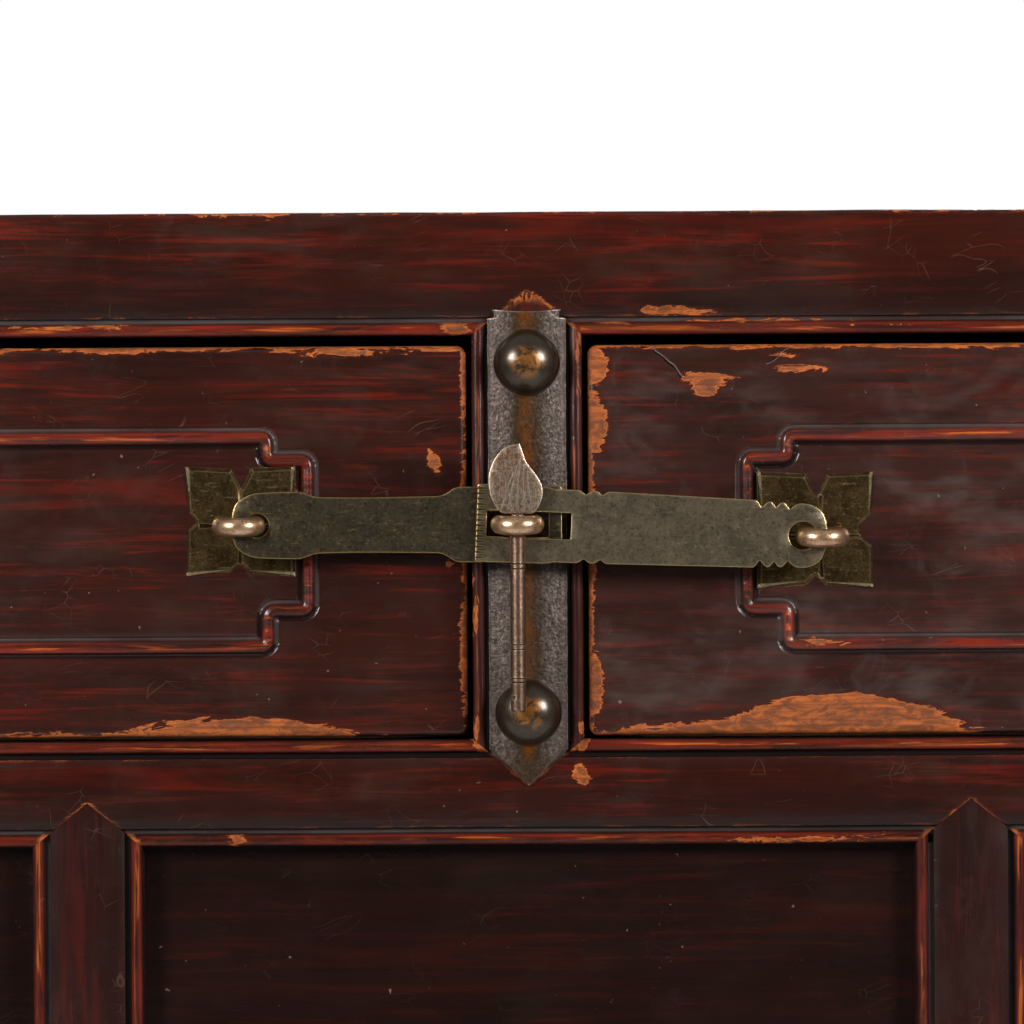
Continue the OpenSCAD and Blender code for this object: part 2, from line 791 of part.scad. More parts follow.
// Half of a level wire ring, behind its centre
module half_ring() {
  rotate_extrude(angle = 180) translate([ring_mid_r, 0]) circle(r = wire_r);
}

// Eye bent from one wire, level, with straight sides of length run between two half rings
module long_eye(run) {
  half_ring();
  translate([0, -run, 0]) rotate(180) half_ring();
  for (s = [-1, 1]) translate([s * ring_mid_r, 0, 0]) rotate([90, 0, 0]) cylinder(r = wire_r, h = run);
}

// Legs of an eye, from y0 through the wood to y1, clinched behind it
module clinched_legs(y0, y1) {
  translate([0, y0, 0]) rotate([-90, 0, 0]) cylinder(d = leg_d, h = y1 + clinch / 2 - y0);
  block([-2 * leg_d, y1, -leg_d / 2], [2 * leg_d, y1 + clinch, leg_d / 2]);
}

module lock_staple() color(copper) placed() translate([lock_x, 0, lock_z]) {
  back_y = -plate_front - ring_out_r;
  translate([0, back_y, 0]) long_eye(back_y - pin_y);
  clinched_legs(back_y + ring_mid_r, member_d);
}

module ring(x, y, z) color(copper) placed() translate([x, 0, z]) {
  translate([0, y, 0]) rotate_extrude() translate([ring_mid_r, 0]) circle(r = wire_r);
  clinched_legs(drawer_set - calyx_t - wire_r, drawer_set + front_t);
}

module ring_left() ring(-ring_left_x, ring_left_y, lock_z);

// The right ring stands further out on a longer neck, level with the upper hasp
module ring_right() ring(ring_right_x, ring_right_y, ring_right_z);

// Square plate with a notch in the middle of each side
module calyx(x, z) color(brass) placed() difference() {
  translate([x, 0, z]) slab(drawer_set - calyx_t, drawer_set) polygon([for (i = [0:3])
    let (a = 90 * i, h = calyx_w / 2, n = calyx_notch)
    for (p = [[h, -h], [h, -0.7 * n], [h - n, 0], [h, 0.7 * n]])
      [p[0] * cos(a) - p[1] * sin(a), p[0] * sin(a) + p[1] * cos(a)]]);
  translate([x, 0, z]) leg_hole();
}

module hasp_plate_left() calyx(-ring_left_x, lock_z);

module hasp_plate_right() calyx(ring_right_x, ring_right_z);

// Points of a rounded rectangle between two corners
function rounded(x0, z0, x1, z1, r) = [
  for (c = [[x1, z1, 0], [x0, z1, 90], [x0, z0, 180], [x1, z0, 270]])
    let (sx = c[0] == x1 ? -1 : 1, sz = c[1] == z1 ? -1 : 1)
    for (a = [c[2]:15:c[2] + 90]) [c[0] + r * (sx + cos(a)), c[1] + r * (sz + sin(a))]];

// Corner points of the stepped bead frame on the right drawer, in order round it
function frame_points() =
  let (xa = drawer_x0 + field_margin, xb = drawer_x1 - field_margin,
    zt = field_z + field_h / 2, zb = field_z - field_h / 2)
  [[xa, zt - tab_up], [xa, zb + tab_down], [xa + tab_l, zb + tab_down], [xa + tab_l, zb],
    [xb - tab_l, zb], [xb - tab_l, zb + tab_down], [xb, zb + tab_down], [xb, zt - tab_up],
    [xb - tab_l, zt - tab_up], [xb - tab_l, zt], [xa + tab_l, zt], [xa + tab_l, zt - tab_up]];

// Unit normal to the left of the way from one point to the next
function left_of(a, b) = let (d = (b - a) / norm(b - a)) [-d[1], d[0]];

// Mitred strip of a closed path of square corners, beside its leg number i, half wide on each side
module path_strip(points, i, half) {
  n = len(points);
  a = points[i];
  b = points[(i + 1) % n];
  before = left_of(points[(i + n - 1) % n], a);
  along = left_of(a, b);
  after = left_of(b, points[(i + 2) % n]);
  polygon([a + half * (before + along), b + half * (along + after),
    b - half * (along + after), a - half * (before + along)]);
}

// Half-round bead along such a path, on the face at depth y
module bead_path(points, y) {
  n = len(points);
  half = field_bead_w / 2;
  r = (half * half + field_bead_h * field_bead_h) / (2 * field_bead_h);
  for (i = [0:n - 1]) {
    a = points[i];
    b = points[(i + 1) % n];
    middle = (a + b) / 2;
    intersection() {
      slab(y - 2 * field_bead_h, y + past) path_strip(points, i, half);
      translate([middle[0], y + r - field_bead_h, middle[1]])
        rotate([0, atan2(b[0] - a[0], b[1] - a[1]), 0])
          cylinder(r = r, h = norm(b - a) + 4 * half, center = true, $fn = 48);
    }
  }
}

// Dovetails on the front end of a drawer side whose inner face is at x
module tails(x) {
  back = drawer_set + front_t;
  h = side_z1 - side_z0;
  translate([x, 0, 0]) rotate([90, 0, 90]) linear_extrude(side_t)
    for (i = [1, 3, 5]) translate([back, side_z0 + i * h / 6])
      polygon([[past, -tail_w / 2], [0, -tail_w / 2], [-tail_l, -tail_w / 2 - tail_flare],
        [-tail_l, tail_w / 2 + tail_flare], [0, tail_w / 2], [past, tail_w / 2]]);
}

// Bottom board of the right drawer, with its edges in the grooves
module bottom_board() {
  z = drawer_z0 + bottom_rise;
  block([drawer_x0 + side_t - housing, drawer_set + front_t - housing, z],
    [drawer_x1 - side_t + housing, drawer_y1 - housing, z + bottom_t]);
}

// Back board of the right drawer, on the bottom and housed in the sides
module back_board() {
  block([drawer_x0 + side_t - housing, drawer_y1 - housing - back_t, drawer_z0 + bottom_rise + bottom_t],
    [drawer_x1 - side_t + housing, drawer_y1 - housing, side_z1 - housing]);
}

// Front board of the right drawer; x and z say where its ring's legs go through
module front_board(x, z) {
  difference() {
    union() {
      difference() {
        slab(drawer_set, drawer_set + front_t)
          polygon(rounded(drawer_x0, drawer_z0, drawer_x1, drawer_z0 + drawer_h, front_r));
        for (i = [0:len(frame_points()) - 1]) slab(drawer_set - past, drawer_set + field_groove_d)
          path_strip(frame_points(), i, field_bead_w / 2 + field_groove_w);
      }
      bead_path(frame_points(), drawer_set);
    }
    tails(drawer_x0);
    tails(drawer_x1 - side_t);
    bottom_board();
    translate([x, 0, z]) leg_hole();
  }
}

// Side board of the right drawer whose inner or left face is at x
module side_board(x) {
  difference() {
    union() {
      block([x, drawer_set + front_t, side_z0], [x + side_t, drawer_y1, side_z1]);
      tails(x);
    }
    bottom_board();
    back_board();
  }
}

module drawer_right_front() color(lacquer) placed() front_board(ring_right_x, ring_right_z);

module drawer_right_side_outer() color(bare_wood) placed() side_board(drawer_x1 - side_t);

module drawer_right_side_inner() color(bare_wood) placed() side_board(drawer_x0);

module drawer_right_back() color(bare_wood) placed() back_board();

module drawer_right_bottom() color(bare_wood) placed() bottom_board();

module drawer_left_front() color(lacquer) placed() mirror([1, 0, 0]) front_board(ring_left_x, lock_z);

module drawer_left_side_outer() color(bare_wood) placed() mirror([1, 0, 0]) side_board(drawer_x1 - side_t);

module drawer_left_side_inner() color(bare_wood) placed() mirror([1, 0, 0]) side_board(drawer_x0);

module drawer_left_back() color(bare_wood) placed() mirror([1, 0, 0]) back_board();

module drawer_left_bottom() color(bare_wood) placed() mirror([1, 0, 0]) bottom_board();

// Hole and slot of a hasp whose ring is at x = 0 and whose lock staple is at x = reach
module hasp_openings(reach, hole_r, extra) {
  translate([ring_in / 2 - 0.8 + hole_r, 0]) circle(r = hole_r);
  translate([reach - slot_l / 2 - extra, -slot_h / 2]) square([slot_l + extra, slot_h]);
}

// Outline from the upper half's points, given from left to right and mirrored below
module two_sided(points) {
  n = len(points);
  polygon([for (p = points) [p[0], -p[1]], for (i = [n - 1:-1:0]) points[i]]);
}

// Under hasp: a round eye, a narrow strap and a broad slotted end
module hasp_left() color(bronze) placed() {
  reach = ring_left_x - lock_off;
  e = eye_left_r;
  w = strap_left_w / 2;
  l = lock_end_w / 2;
  neck = 1.9 * e;
  flare = reach - 21;
  tip = reach + slot_l / 2 + slot_land;
  translate([-ring_left_x, 0, lock_z]) slab(ring_left_y - hasp_t / 2, ring_left_y + hasp_t / 2) difference() {
    union() {
      translate([e - tip_left, 0]) circle(r = e);
      two_sided([[e - tip_left, 0.6 * e], [1.12 * e - tip_left, 0.9 * e], [1.3 * e - tip_left, e],
        [neck, e], [neck + e - w + past, w], [flare - l + w, w], [flare, l], [tip - past, l],
        [tip, l - past]]);
    }
    hasp_openings(reach, hole_left_r, 0);
  }
}

// Upper hasp: a round eye, two small teeth, a tapering strap with a nick, and a broad slotted end
module hasp_right() color(bronze) placed() {
  reach = ring_right_x + lock_off;
  e = eye_right_r;
  w = strap_right_w / 2;
  l = lock_end_w / 2;
  tooth = 3.6;
  teeth = 1.25 * e;
  tip = reach + slot_l / 2 + slot_land;
  nick = reach - slot_l / 2 - slot_extra - 2 * slot_land;
  translate([ring_right_x, 0, ring_right_z]) mirror([1, 0, 0])
    slab(ring_right_y - hasp_t / 2, ring_right_y + hasp_t / 2) rotate(atan2(ring_right_drop, reach))
      difference() {
        union() {
          translate([e - tip_right, 0]) circle(r = e);
          two_sided([[e - tip_right, 0.9 * e], for (i = [0:1]) for (p = [[0, -2], [0.5, 0]])
            [teeth + (i + p[0]) * tooth, w + p[1]], [teeth + 2 * tooth, w - 2], [teeth + 2.6 * tooth, w],
            [nick - tooth, l - 1.4], [nick - tooth / 2, l - 3], [nick, l - 1.4],
            [nick + tooth, l - 1.4], [nick + tooth + past, l], [tip, l]]);
        }
        hasp_openings(reach, hole_right_r, slot_extra);
      }
}

// Leaf head: a round body that runs up to a bent tip, flat where it rests on the staple
module leaf() {
  r = leaf_r;
  difference() {
    union() {
      circle(r = r);
      difference() {
        translate([0.65 * r, 0]) circle(r = 1.67 * r);
        translate([-2 * r, -2 * r]) square([6 * r, 2 * r]);
      }
    }
    translate([2.81 * r, 1.94 * r]) circle(r = 2.64 * r, $fn = 96);
    translate([-2 * r, -3 * r]) square([4 * r, 2.04 * r]);
  }
}

module lock_pin() color(bronze) placed() {
  head_z = lock_z + wire_r + slide_gap;
  translate([lock_x, pin_y, head_z]) {
    translate([0, 0, 0.96 * leaf_r]) slab(-leaf_t / 2, leaf_t / 2) leaf();
    difference() {
      translate([0, 0, -pin_l]) cylinder(d = pin_d, h = pin_l + past);
      for (share = [0.25, 0.66, 0.83], s = [-1, 1]) translate([0, 0, -share * pin_l + 2 * s * ring_cut])
        rotate_extrude() translate([pin_d / 2, 0]) circle(r = ring_cut);
    }
  }
}

top_front_rail();
top_back_rail();
top_end_left();
top_end_right();
top_panel();
top_battens();
leg_front_left();
leg_front_right();
leg_back_left();
leg_back_right();
drawer_rail();
center_stile();
lower_rail();
frieze_post_left();
frieze_post_right();
frieze_panel_left();
frieze_panel_center();
frieze_panel_right();
apron_front();
side_rail_left();
side_rail_right();
side_panel_left();
side_panel_right();
side_frieze_left();
side_frieze_right();
side_lower_rail_left();
side_lower_rail_right();
side_apron_left();
side_apron_right();
back_rail();
back_panel();
back_frieze();
back_lower_rail();
back_apron();
drawer_runners();
drawer_guides();
drawer_kicker();
stile_plate();
boss_upper();
boss_lower();
lock_staple();
drawer_left_front();
drawer_left_side_outer();
drawer_left_side_inner();
drawer_left_back();
drawer_left_bottom();
hasp_plate_left();
ring_left();
drawer_right_front();
drawer_right_side_outer();
drawer_right_side_inner();
drawer_right_back();
drawer_right_bottom();
hasp_plate_right();
ring_right();
hasp_left();
hasp_right();
lock_pin();
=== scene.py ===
"""Looks of a lacquered side table with two drawers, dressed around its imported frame.

Lengths are metres in the frame's own axes: X runs along the front, Z is up and the front
faces -Y. Sizes of single pieces are written in millimetres and turned by MM.
"""
import logging
import math
from dataclasses import dataclass
from enum import Enum
from typing import Iterable, Sequence, Union

import bmesh
import bpy
import numpy as np
from mathutils import Matrix, Vector, noise


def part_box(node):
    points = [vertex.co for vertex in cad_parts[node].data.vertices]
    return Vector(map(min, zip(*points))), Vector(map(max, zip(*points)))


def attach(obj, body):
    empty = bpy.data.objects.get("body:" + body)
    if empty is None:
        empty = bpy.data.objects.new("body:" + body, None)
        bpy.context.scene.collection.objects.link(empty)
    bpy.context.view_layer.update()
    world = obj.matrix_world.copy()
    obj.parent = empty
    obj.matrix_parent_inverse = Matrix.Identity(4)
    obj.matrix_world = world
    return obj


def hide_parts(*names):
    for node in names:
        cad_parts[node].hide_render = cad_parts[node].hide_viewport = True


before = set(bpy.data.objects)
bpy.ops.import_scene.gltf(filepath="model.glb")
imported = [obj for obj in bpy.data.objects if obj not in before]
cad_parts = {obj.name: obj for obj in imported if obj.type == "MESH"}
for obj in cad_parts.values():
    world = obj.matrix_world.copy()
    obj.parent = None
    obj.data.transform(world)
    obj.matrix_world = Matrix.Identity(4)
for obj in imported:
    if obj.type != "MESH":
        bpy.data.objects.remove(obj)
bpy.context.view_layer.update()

MM = 0.001
WELD = 1e-6
CRISP = 34.0
DRAWER_Y = -0.2008
LOG = logging.getLogger("side_table")

Number = Union[float, "Wire"]
Point = tuple[float, float]
Spot = tuple[float, float, float]
Corner = tuple[float, float, float]
Colour = tuple[float, float, float]


class Wire:
    """An output socket that takes part in arithmetic as a number does."""

    def __init__(self, graph: "Graph", socket: bpy.types.NodeSocket) -> None:
        """Keeps the socket and the graph that its new nodes join."""
        self.graph = graph
        self.socket = socket

    def __add__(self, other: Number) -> "Wire":
        """Sum of this value and another."""
        return self.graph.math("ADD", self, other)

    __radd__ = __add__

    def __mul__(self, other: Number) -> "Wire":
        """Product of this value and another."""
        return self.graph.math("MULTIPLY", self, other)

    __rmul__ = __mul__

    def __sub__(self, other: Number) -> "Wire":
        """This value less another."""
        return self.graph.math("SUBTRACT", self, other)

    def __rsub__(self, other: Number) -> "Wire":
        """Another value less this one."""
        return self.graph.math("SUBTRACT", other, self)

    def __or__(self, other: Number) -> "Wire":
        """The larger of two masks."""
        return self.graph.math("MAXIMUM", self, other)

    def __and__(self, other: Number) -> "Wire":
        """The smaller of two masks."""
        return self.graph.math("MINIMUM", self, other)

    def __abs__(self) -> "Wire":
        """The value without its sign."""
        return self.graph.math("ABSOLUTE", self)

    def step(self, low: float, high: float) -> "Wire":
        """Smooth rise from 0 at low to 1 at high."""
        settings = {"interpolation_type": "SMOOTHSTEP"}
        return self.graph.node("MapRange", settings, {0: self, 1: low, 2: high, 3: 0.0, 4: 1.0})


class Graph:
    """A material under construction."""

    def __init__(self, name: str, world: bool = False) -> None:
        """Starts an empty material.

        Args:
            name: Name of the material.
            world: Whether it is a world instead.
        """
        self.material = (bpy.data.worlds if world else bpy.data.materials).new(name)
        self.material.use_nodes = True
        self.tree = self.material.node_tree
        self.tree.nodes.clear()
        self.made: dict[str, Wire] = {}

    def node(self, kind: str, settings: dict, sockets: dict, output: Union[int, str] = 0) -> Wire:
        """Adds one node.

        Args:
            kind: The node's type, after the words that all types begin with.
            settings: Properties by name, set first.
            sockets: Values or wires by the input's name or number.
            output: Name or number of the output to hand back.

        Returns:
            A wire from the chosen output.
        """
        made = self.tree.nodes.new(f"ShaderNode{kind}")
        for name, value in settings.items():
            setattr(made, name, value)
        for name, value in sockets.items():
            if isinstance(value, Wire):
                self.tree.links.new(value.socket, made.inputs[name])
            else:
                made.inputs[name].default_value = value
        return Wire(self, made.outputs[output] if made.outputs else None)

    def math(self, operation: str, first: Number, second: Number = 0.0) -> Wire:
        """A Math node on one or two values."""
        return self.node("Math", {"operation": operation}, {0: first, 1: second})

    def vector(self, operation: str, *ends: Union[Wire, Spot], output: Union[int, str] = 0) -> Wire:
        """A Vector Math node on one to three vectors."""
        return self.node("VectorMath", {"operation": operation}, dict(enumerate(ends)), output)

    def mix(self, share: Number, first: Union[Colour, Wire], second: Union[Colour, Wire]) -> Wire:
        """Blends two colours, the second as far as the share says."""
        ends = [c if isinstance(c, Wire) else (*c, 1.0) for c in (first, second)]
        return self.node("Mix", {"data_type": "RGBA"}, {0: share, 6: ends[0], 7: ends[1]}, 2)

    def layers(self, ground: Union[Colour, Wire], *coats: tuple[Number, Union[Colour, Wire]]) -> Wire:
        """Lays colours over a ground, one after another, each with the share that it covers."""
        for share, colour in coats:
            ground = self.mix(share, ground, colour)
        return ground

    def place(self) -> Wire:
        """The surface point in the piece's own axes, which are the frame's at rest."""
        if "place" not in self.made:
            self.made["place"] = self.node("TexCoord", {}, {}, "Object")
        return self.made["place"]

    def axis(self, name: str) -> Wire:
        """One of the surface point's coordinates, X, Y or Z."""
        return self.node("SeparateXYZ", {}, {0: self.place()}, name)

    def noise(self, stretch: Union[float, Spot], detail: float = 3.0, rough: float = 0.55,
              at: Spot = (0.0, 0.0, 0.0), warp: float = 0.0) -> Wire:
        """Cloud noise over the surface, about 0.5 on average.

        Args:
            stretch: Cells per metre, one number or one for each of X, Y and Z.
            detail: Octaves.
            rough: Weight of the finer octaves.
            at: Shift of the pattern, so that two calls differ.
            warp: How far the noise bends itself.

        Returns:
            The noise value.
        """
        cells = stretch if isinstance(stretch, tuple) else (stretch,) * 3
        spot = self.vector("MULTIPLY_ADD", self.place(), cells, at)
        return self.node("TexNoise", {}, {"Vector": spot, "Scale": 1.0, "Detail": detail,
                                          "Roughness": rough, "Distortion": warp})

    def attribute(self, name: str) -> Wire:
        """A value that the mesh carries, 0 where it has none."""
        return self.node("Attribute", {"attribute_name": name}, {}, "Fac")

    def near(self, reach: float, inside: bool) -> Wire:
        """How much other surface lies close by, from 0 on open flats.

        Args:
            reach: How far to look, in metres.
            inside: Whether to look into the solid, which finds arrises, or out, which finds corners.

        Returns:
            The share of directions that meet a surface.
        """
        settings = {"inside": inside, "only_local": inside, "samples": 6}
        return 1 - self.node("AmbientOcclusion", settings, {"Distance": reach}, "AO")

    def seen(self, behind: Wire) -> Wire:
        """1 where the lens looks, and where gloss or glass looks at what lies behind; 0 for other light."""
        camera, gloss, through = (self.node("LightPath", {}, {}, f"Is {kind} Ray")
                                  for kind in ("Camera", "Glossy", "Transmission"))
        return camera | (gloss | through) * behind

    def surface(self, colour: Wire, rough: Number, height: Wire, metal: float = 0.0, ior: float = 1.5,
                coat: float = 0.0, coat_rough: float = 0.12) -> bpy.types.Material:
        """Ends the material in one Principled surface.

        Args:
            colour: Base colour.
            rough: Roughness.
            height: Relief in metres.
            metal: Metallic share.
            ior: Index of refraction.
            coat: Weight of a clear coat.
            coat_rough: Roughness of that coat.

        Returns:
            The finished material.
        """
        bump = self.node("Bump", {}, {"Strength": 1.0, "Distance": 1.0, "Height": height})
        shader = self.node("BsdfPrincipled", {}, {
            "Base Color": colour, "Roughness": rough, "Metallic": metal, "IOR": ior,
            "Coat Weight": coat, "Coat Roughness": coat_rough, "Normal": bump})
        self.node("OutputMaterial", {}, {"Surface": shader})
        return self.material


def tone(red: int, green: int, blue: int) -> Colour:
    """Linear colour of a paint chip read in 0 to 255 display values."""
    shares = (channel / 255 for channel in (red, green, blue))
    return tuple(s / 12.92 if s <= 0.04045 else ((s + 0.055) / 1.055) ** 2.4 for s in shares)


class Grain(Enum):
    """The way the fibres of a board run."""

    ALONG_X = 0
    ALONG_Y = 1
    ALONG_Z = 2

    def stretch(self, along: float, across: float) -> Spot:
        """Cells per metre on each axis for a pattern drawn out along the fibres."""
        return tuple(along if axis == self.value else across for axis in range(3))


@dataclass(frozen=True)
class Lacquer:
    """Old red-brown lacquer over wood that shows where hands and use have rubbed it through."""

    name: str
    grain: Grain
    dark: Colour = tone(51, 19, 12)
    red: Colour = tone(118, 27, 12)
    # Near-black of random blotches, and of the painted shade on lower slopes.
    black: Colour = tone(20, 9, 6)
    haze: Colour = tone(72, 58, 50)
    bead: Colour = tone(120, 31, 13)
    orange: Colour = tone(204, 104, 34)
    wood: Colour = tone(180, 92, 28)
    wood_dark: Colour = tone(88, 44, 18)
    # Grey of the painted highlight in grooves lit from above.
    lit: Colour = tone(92, 82, 80)
    nick: Colour = tone(150, 124, 106)
    stain: Colour = tone(44, 22, 13)
    # Near-black of the painted shade, with some grime, in corners and grooves.
    corner_shade_and_grime: Colour = tone(9, 5, 5)
    thinned: Colour = tone(70, 26, 14)
    lip: Colour = tone(140, 122, 114)
    split: Colour = tone(8, 5, 4)
    streaks: float = 0.66
    shade: float = 0.6
    dull: float = 0.22
    rough: float = 0.21
    ior: float = 1.43
    glow: float = 0.0
    scored: float = 0.15
    arris_reach: float = 1.8 * MM
    # How far the corner search for that painted shade and grime reaches.
    corner_shade_reach: float = 3.0 * MM
    film: float = 0.2 * MM
    rub: float = 0.34
    seed: float = 0.0
    face_y: float = -0.1985
    rubbed: tuple["Rubbed", ...] = ()
    stained: tuple["Rubbed", ...] = ()
    cracks: tuple["Crack", ...] = ()

    @property
    def shift(self) -> Spot:
        """Shift of the broad patterns, so that two boards differ."""
        return (self.seed, 0.7 * self.seed, 0.3 * self.seed)

    def arris(self, g: Graph) -> Wire:
        """How sharp an outer edge or a bead is here."""
        if "arris" not in g.made:
            g.made["arris"] = g.near(self.arris_reach, True)
        return g.made["arris"]

    def wear(self, g: Graph) -> Wire:
        """How far inside a rubbed patch the surface lies.

        Args:
            g: The material under construction.

        Returns:
            The distance in millimetres, below 0 on whole lacquer.
        """
        worn = (self.arris(g) - self.rub) * 9.0
        if self.rubbed:
            patches = self.rubbed[0].wire(g)
            for patch in self.rubbed[1:]:
                patches = patches | patch.wire(g)
            worn = worn | patches - g.axis("Y").step(self.face_y, self.face_y + 1.5 * MM) * 12
        flaked = (g.noise(self.grain.stretch(70, 260), 5, 0.74, (self.seed, 3, 1), 0.9) - 0.5) * 7.5
        return worn + flaked - 0.35

    def whole(self, g: Graph, wide: Wire, cloud: Wire, corner_shade_and_grime: Wire) -> Wire:
        """Colour of the whole lacquer: streaks, blotches, dull scuffs and redder beads, with painted shade on
        lower slopes, in grooves and corners, and a painted highlight in grooves lit from above.

        Args:
            g: Material under construction.
            wide: Broad streaks.
            cloud: Even clouds.
            corner_shade_and_grime: How deep in a corner the surface lies.

        Returns:
            The colour.
        """
        thin = g.noise(self.grain.stretch(17, 330), 5, 0.68, self.shift, 0.9)
        flow = g.noise(self.grain.stretch(8, 120), 4, 0.6, (self.seed, 6, 2), 0.8)
        reddened = thin.step(0.5, 0.68) * (cloud.step(0.36, 0.62) * 0.75 + 0.15) | flow.step(0.54, 0.74) * 0.6
        blackened = (1 - wide).step(0.46, 0.66) * 0.8 | (1 - thin).step(0.56, 0.74) * 0.5
        scuff = g.noise(55, 4, 0.7, (3, self.seed, 9), 0.8).step(0.44, 0.8)
        smear = scuff | g.noise(self.grain.stretch(30, 90), 3, 0.6, self.shift).step(0.42, 0.7)
        roll, slope = g.attribute("roll"), g.attribute("slope")
        glowing = self.arris(g).step(0.04, 0.14) * (1 - self.arris(g).step(0.22, 0.32)) * self.glow
        broken = thin.step(0.42, 0.60) * 0.7 + cloud.step(0.42, 0.62) * 0.3
        crest = g.noise(self.grain.stretch(30, 500), 3, 0.6, (1, self.seed, 8)).step(0.52, 0.62)
        nicks = g.noise(380, 2, 0.5, (self.seed, 2, 2)).step(0.75, 0.8)
        stains = [(patch.wire(g).step(-1.0, 1.5) * 0.7, self.stain) for patch in self.stained]
        return g.layers(
            self.dark,
            (reddened * self.streaks, self.red),
            (blackened * self.shade, self.black),
            (smear * cloud.step(0.34, 0.64) * self.dull, self.haze),
            # Painted shade: the crown's lower slope darkened toward black.
            (slope * 0.72, self.black),
            ((roll.step(0.05, 0.5) | glowing) * broken * 0.9, self.bead),
            (roll.step(0.72, 0.98) * crest * broken * 0.8, self.orange),
            # Painted highlight: grey sheen in grooves that face up to the light.
            (g.attribute("rim") * (cloud.step(0.3, 0.6) * 0.4 + 0.25), self.lit),
            (nicks * 0.45 | self.scratches(g, cloud) * self.scored, self.nick),
            *stains,
            # Painted shade: grooves that face down, and corners, darkened nearly to black, with some grime.
            (g.attribute("sunk") * 0.9 | corner_shade_and_grime.step(0.3, 0.8) * 0.85, self.corner_shade_and_grime))

    def scratches(self, g: Graph, cloud: Wire) -> Wire:
        """Fine curved scratches and short scores, gathered in a few places.

        Args:
            g: The material under construction.
            cloud: Slow noise that keeps them together.

        Returns:
            The scratches, as a mask.
        """
        bent = g.noise(24, 2, 0.5, (self.seed, 4, 4))
        bend = g.node("CombineXYZ", {}, {"X": bent * 7.0, "Z": bent * 5.0})
        spot = g.vector("MULTIPLY_ADD", g.place(), (110.0, 110.0, 190.0), bend)
        net = {"feature": "DISTANCE_TO_EDGE"}
        cell = g.node("TexVoronoi", net, {"Vector": spot, "Scale": 1.0}, "Distance")
        gate = g.noise(70, 2, 0.5, (9, self.seed, 1)).step(0.56, 0.66)
        return (1 - cell.step(0.0, 0.016)) * gate * (1 - cloud.step(0.45, 0.65))

    def build(self) -> bpy.types.Material:
        """Makes the material.

        Returns:
            The lacquer, ready for a material slot.
        """
        g = Graph(self.name)
        wide = g.noise(self.grain.stretch(12, 75), 3, 0.6, self.shift, 0.5)
        cloud = g.noise(17, 4, 0.65, self.shift, 0.4)
        # Depth in a corner: drives the painted shade and grime there, and rougher lacquer.
        corner_shade_and_grime = g.near(self.corner_shade_reach, False)
        colour = self.whole(g, wide, cloud, corner_shade_and_grime)
        worn = self.wear(g)
        bare = worn.step(-0.10, 0.14)
        fibre = g.noise(self.grain.stretch(22, 620), 4, 0.65, self.shift, 0.5)
        grime = g.noise(self.grain.stretch(110, 260), 5, 0.75, (self.seed, 1, 7), 1.0).step(0.36, 0.6)
        fresh = worn.step(0.0, 0.16) * (1 - worn.step(0.2, 0.7))
        wood = g.layers(self.wood, (fibre.step(0.4, 0.66) * 0.7, self.wood_dark),
                        (grime * 0.85 | (1 - wide).step(0.42, 0.62) * 0.4, self.wood_dark),
                        (fresh * 0.6, self.orange))
        colour = g.layers(colour, (worn.step(-1.2, -0.05) * 0.6, self.thinned), (bare, wood))
        waves = g.noise(34, 2, 0.5, (2, self.seed, 4)) * (0.55 * MM)
        brushed = g.noise(self.grain.stretch(20, 260), 2, 0.5, self.shift) * (0.12 * MM)
        peel = g.noise(900, 2, 0.6, (5, 1, self.seed)) * (0.022 * MM)
        dents = g.noise(150, 2, 0.5, (7, self.seed, 2)).step(0.62, 0.8) * (0.12 * MM)
        relief = waves + brushed + peel - dents - bare * self.film + bare * fibre * (0.12 * MM)
        for crack in self.cracks:
            split, lip = crack.wires(g)
            colour = g.layers(colour, (lip * 0.4, self.lip), (split * 0.95, self.split))
            relief = relief - split * (1.5 * self.film)
        rough = cloud * 0.2 + (self.rough - 0.08) + corner_shade_and_grime * 0.25 + bare * 0.45
        return g.surface(colour, rough & 1.0, relief, ior=self.ior)


@dataclass(frozen=True)
class Timber:
    """Plain unpainted wood of drawer boxes, battens and backs, darkened by age."""

    name: str
    grain: Grain
    seed: float
    pale: Colour = tone(150, 108, 70)
    deep: Colour = tone(112, 76, 46)
    line: Colour = tone(84, 54, 32)
    grime: Colour = tone(58, 39, 26)
    corner: Colour = tone(34, 22, 15)
    arris: Colour = tone(176, 134, 92)

    def build(self) -> bpy.types.Material:
        """Makes the material.

        Returns:
            The timber, ready for a material slot.
        """
        g = Graph(self.name)
        shift = (self.seed, 1.3, 2.1)
        broad = g.noise(self.grain.stretch(3, 34), 3, 0.5, shift, 0.5)
        rings = g.math("FRACT", broad * 9.0 + g.noise(self.grain.stretch(9, 160), 2, 0.5, shift) * 0.5)
        late = rings.step(0.55, 0.92) * (1 - rings.step(0.94, 1.0))
        fibre = g.noise(self.grain.stretch(40, 1300), 3, 0.6, shift)
        stain = g.noise(7, 4, 0.6, shift, 0.4)
        colour = g.layers(
            self.pale,
            (broad.step(0.35, 0.65), self.deep),
            (late * 0.45, self.line),
            (fibre.step(0.5, 0.75) * 0.35, self.line),
            (stain.step(0.48, 0.72) * 0.45, self.grime),
            (g.near(5 * MM, False).step(0.3, 0.85) * 0.7, self.corner),
            (g.near(1.2 * MM, True).step(0.3, 0.5) * 0.4, self.arris))
        relief = fibre * (0.05 * MM) + late * (0.08 * MM) + stain * (0.3 * MM)
        return g.surface(colour, fibre * 0.12 + 0.56, relief)


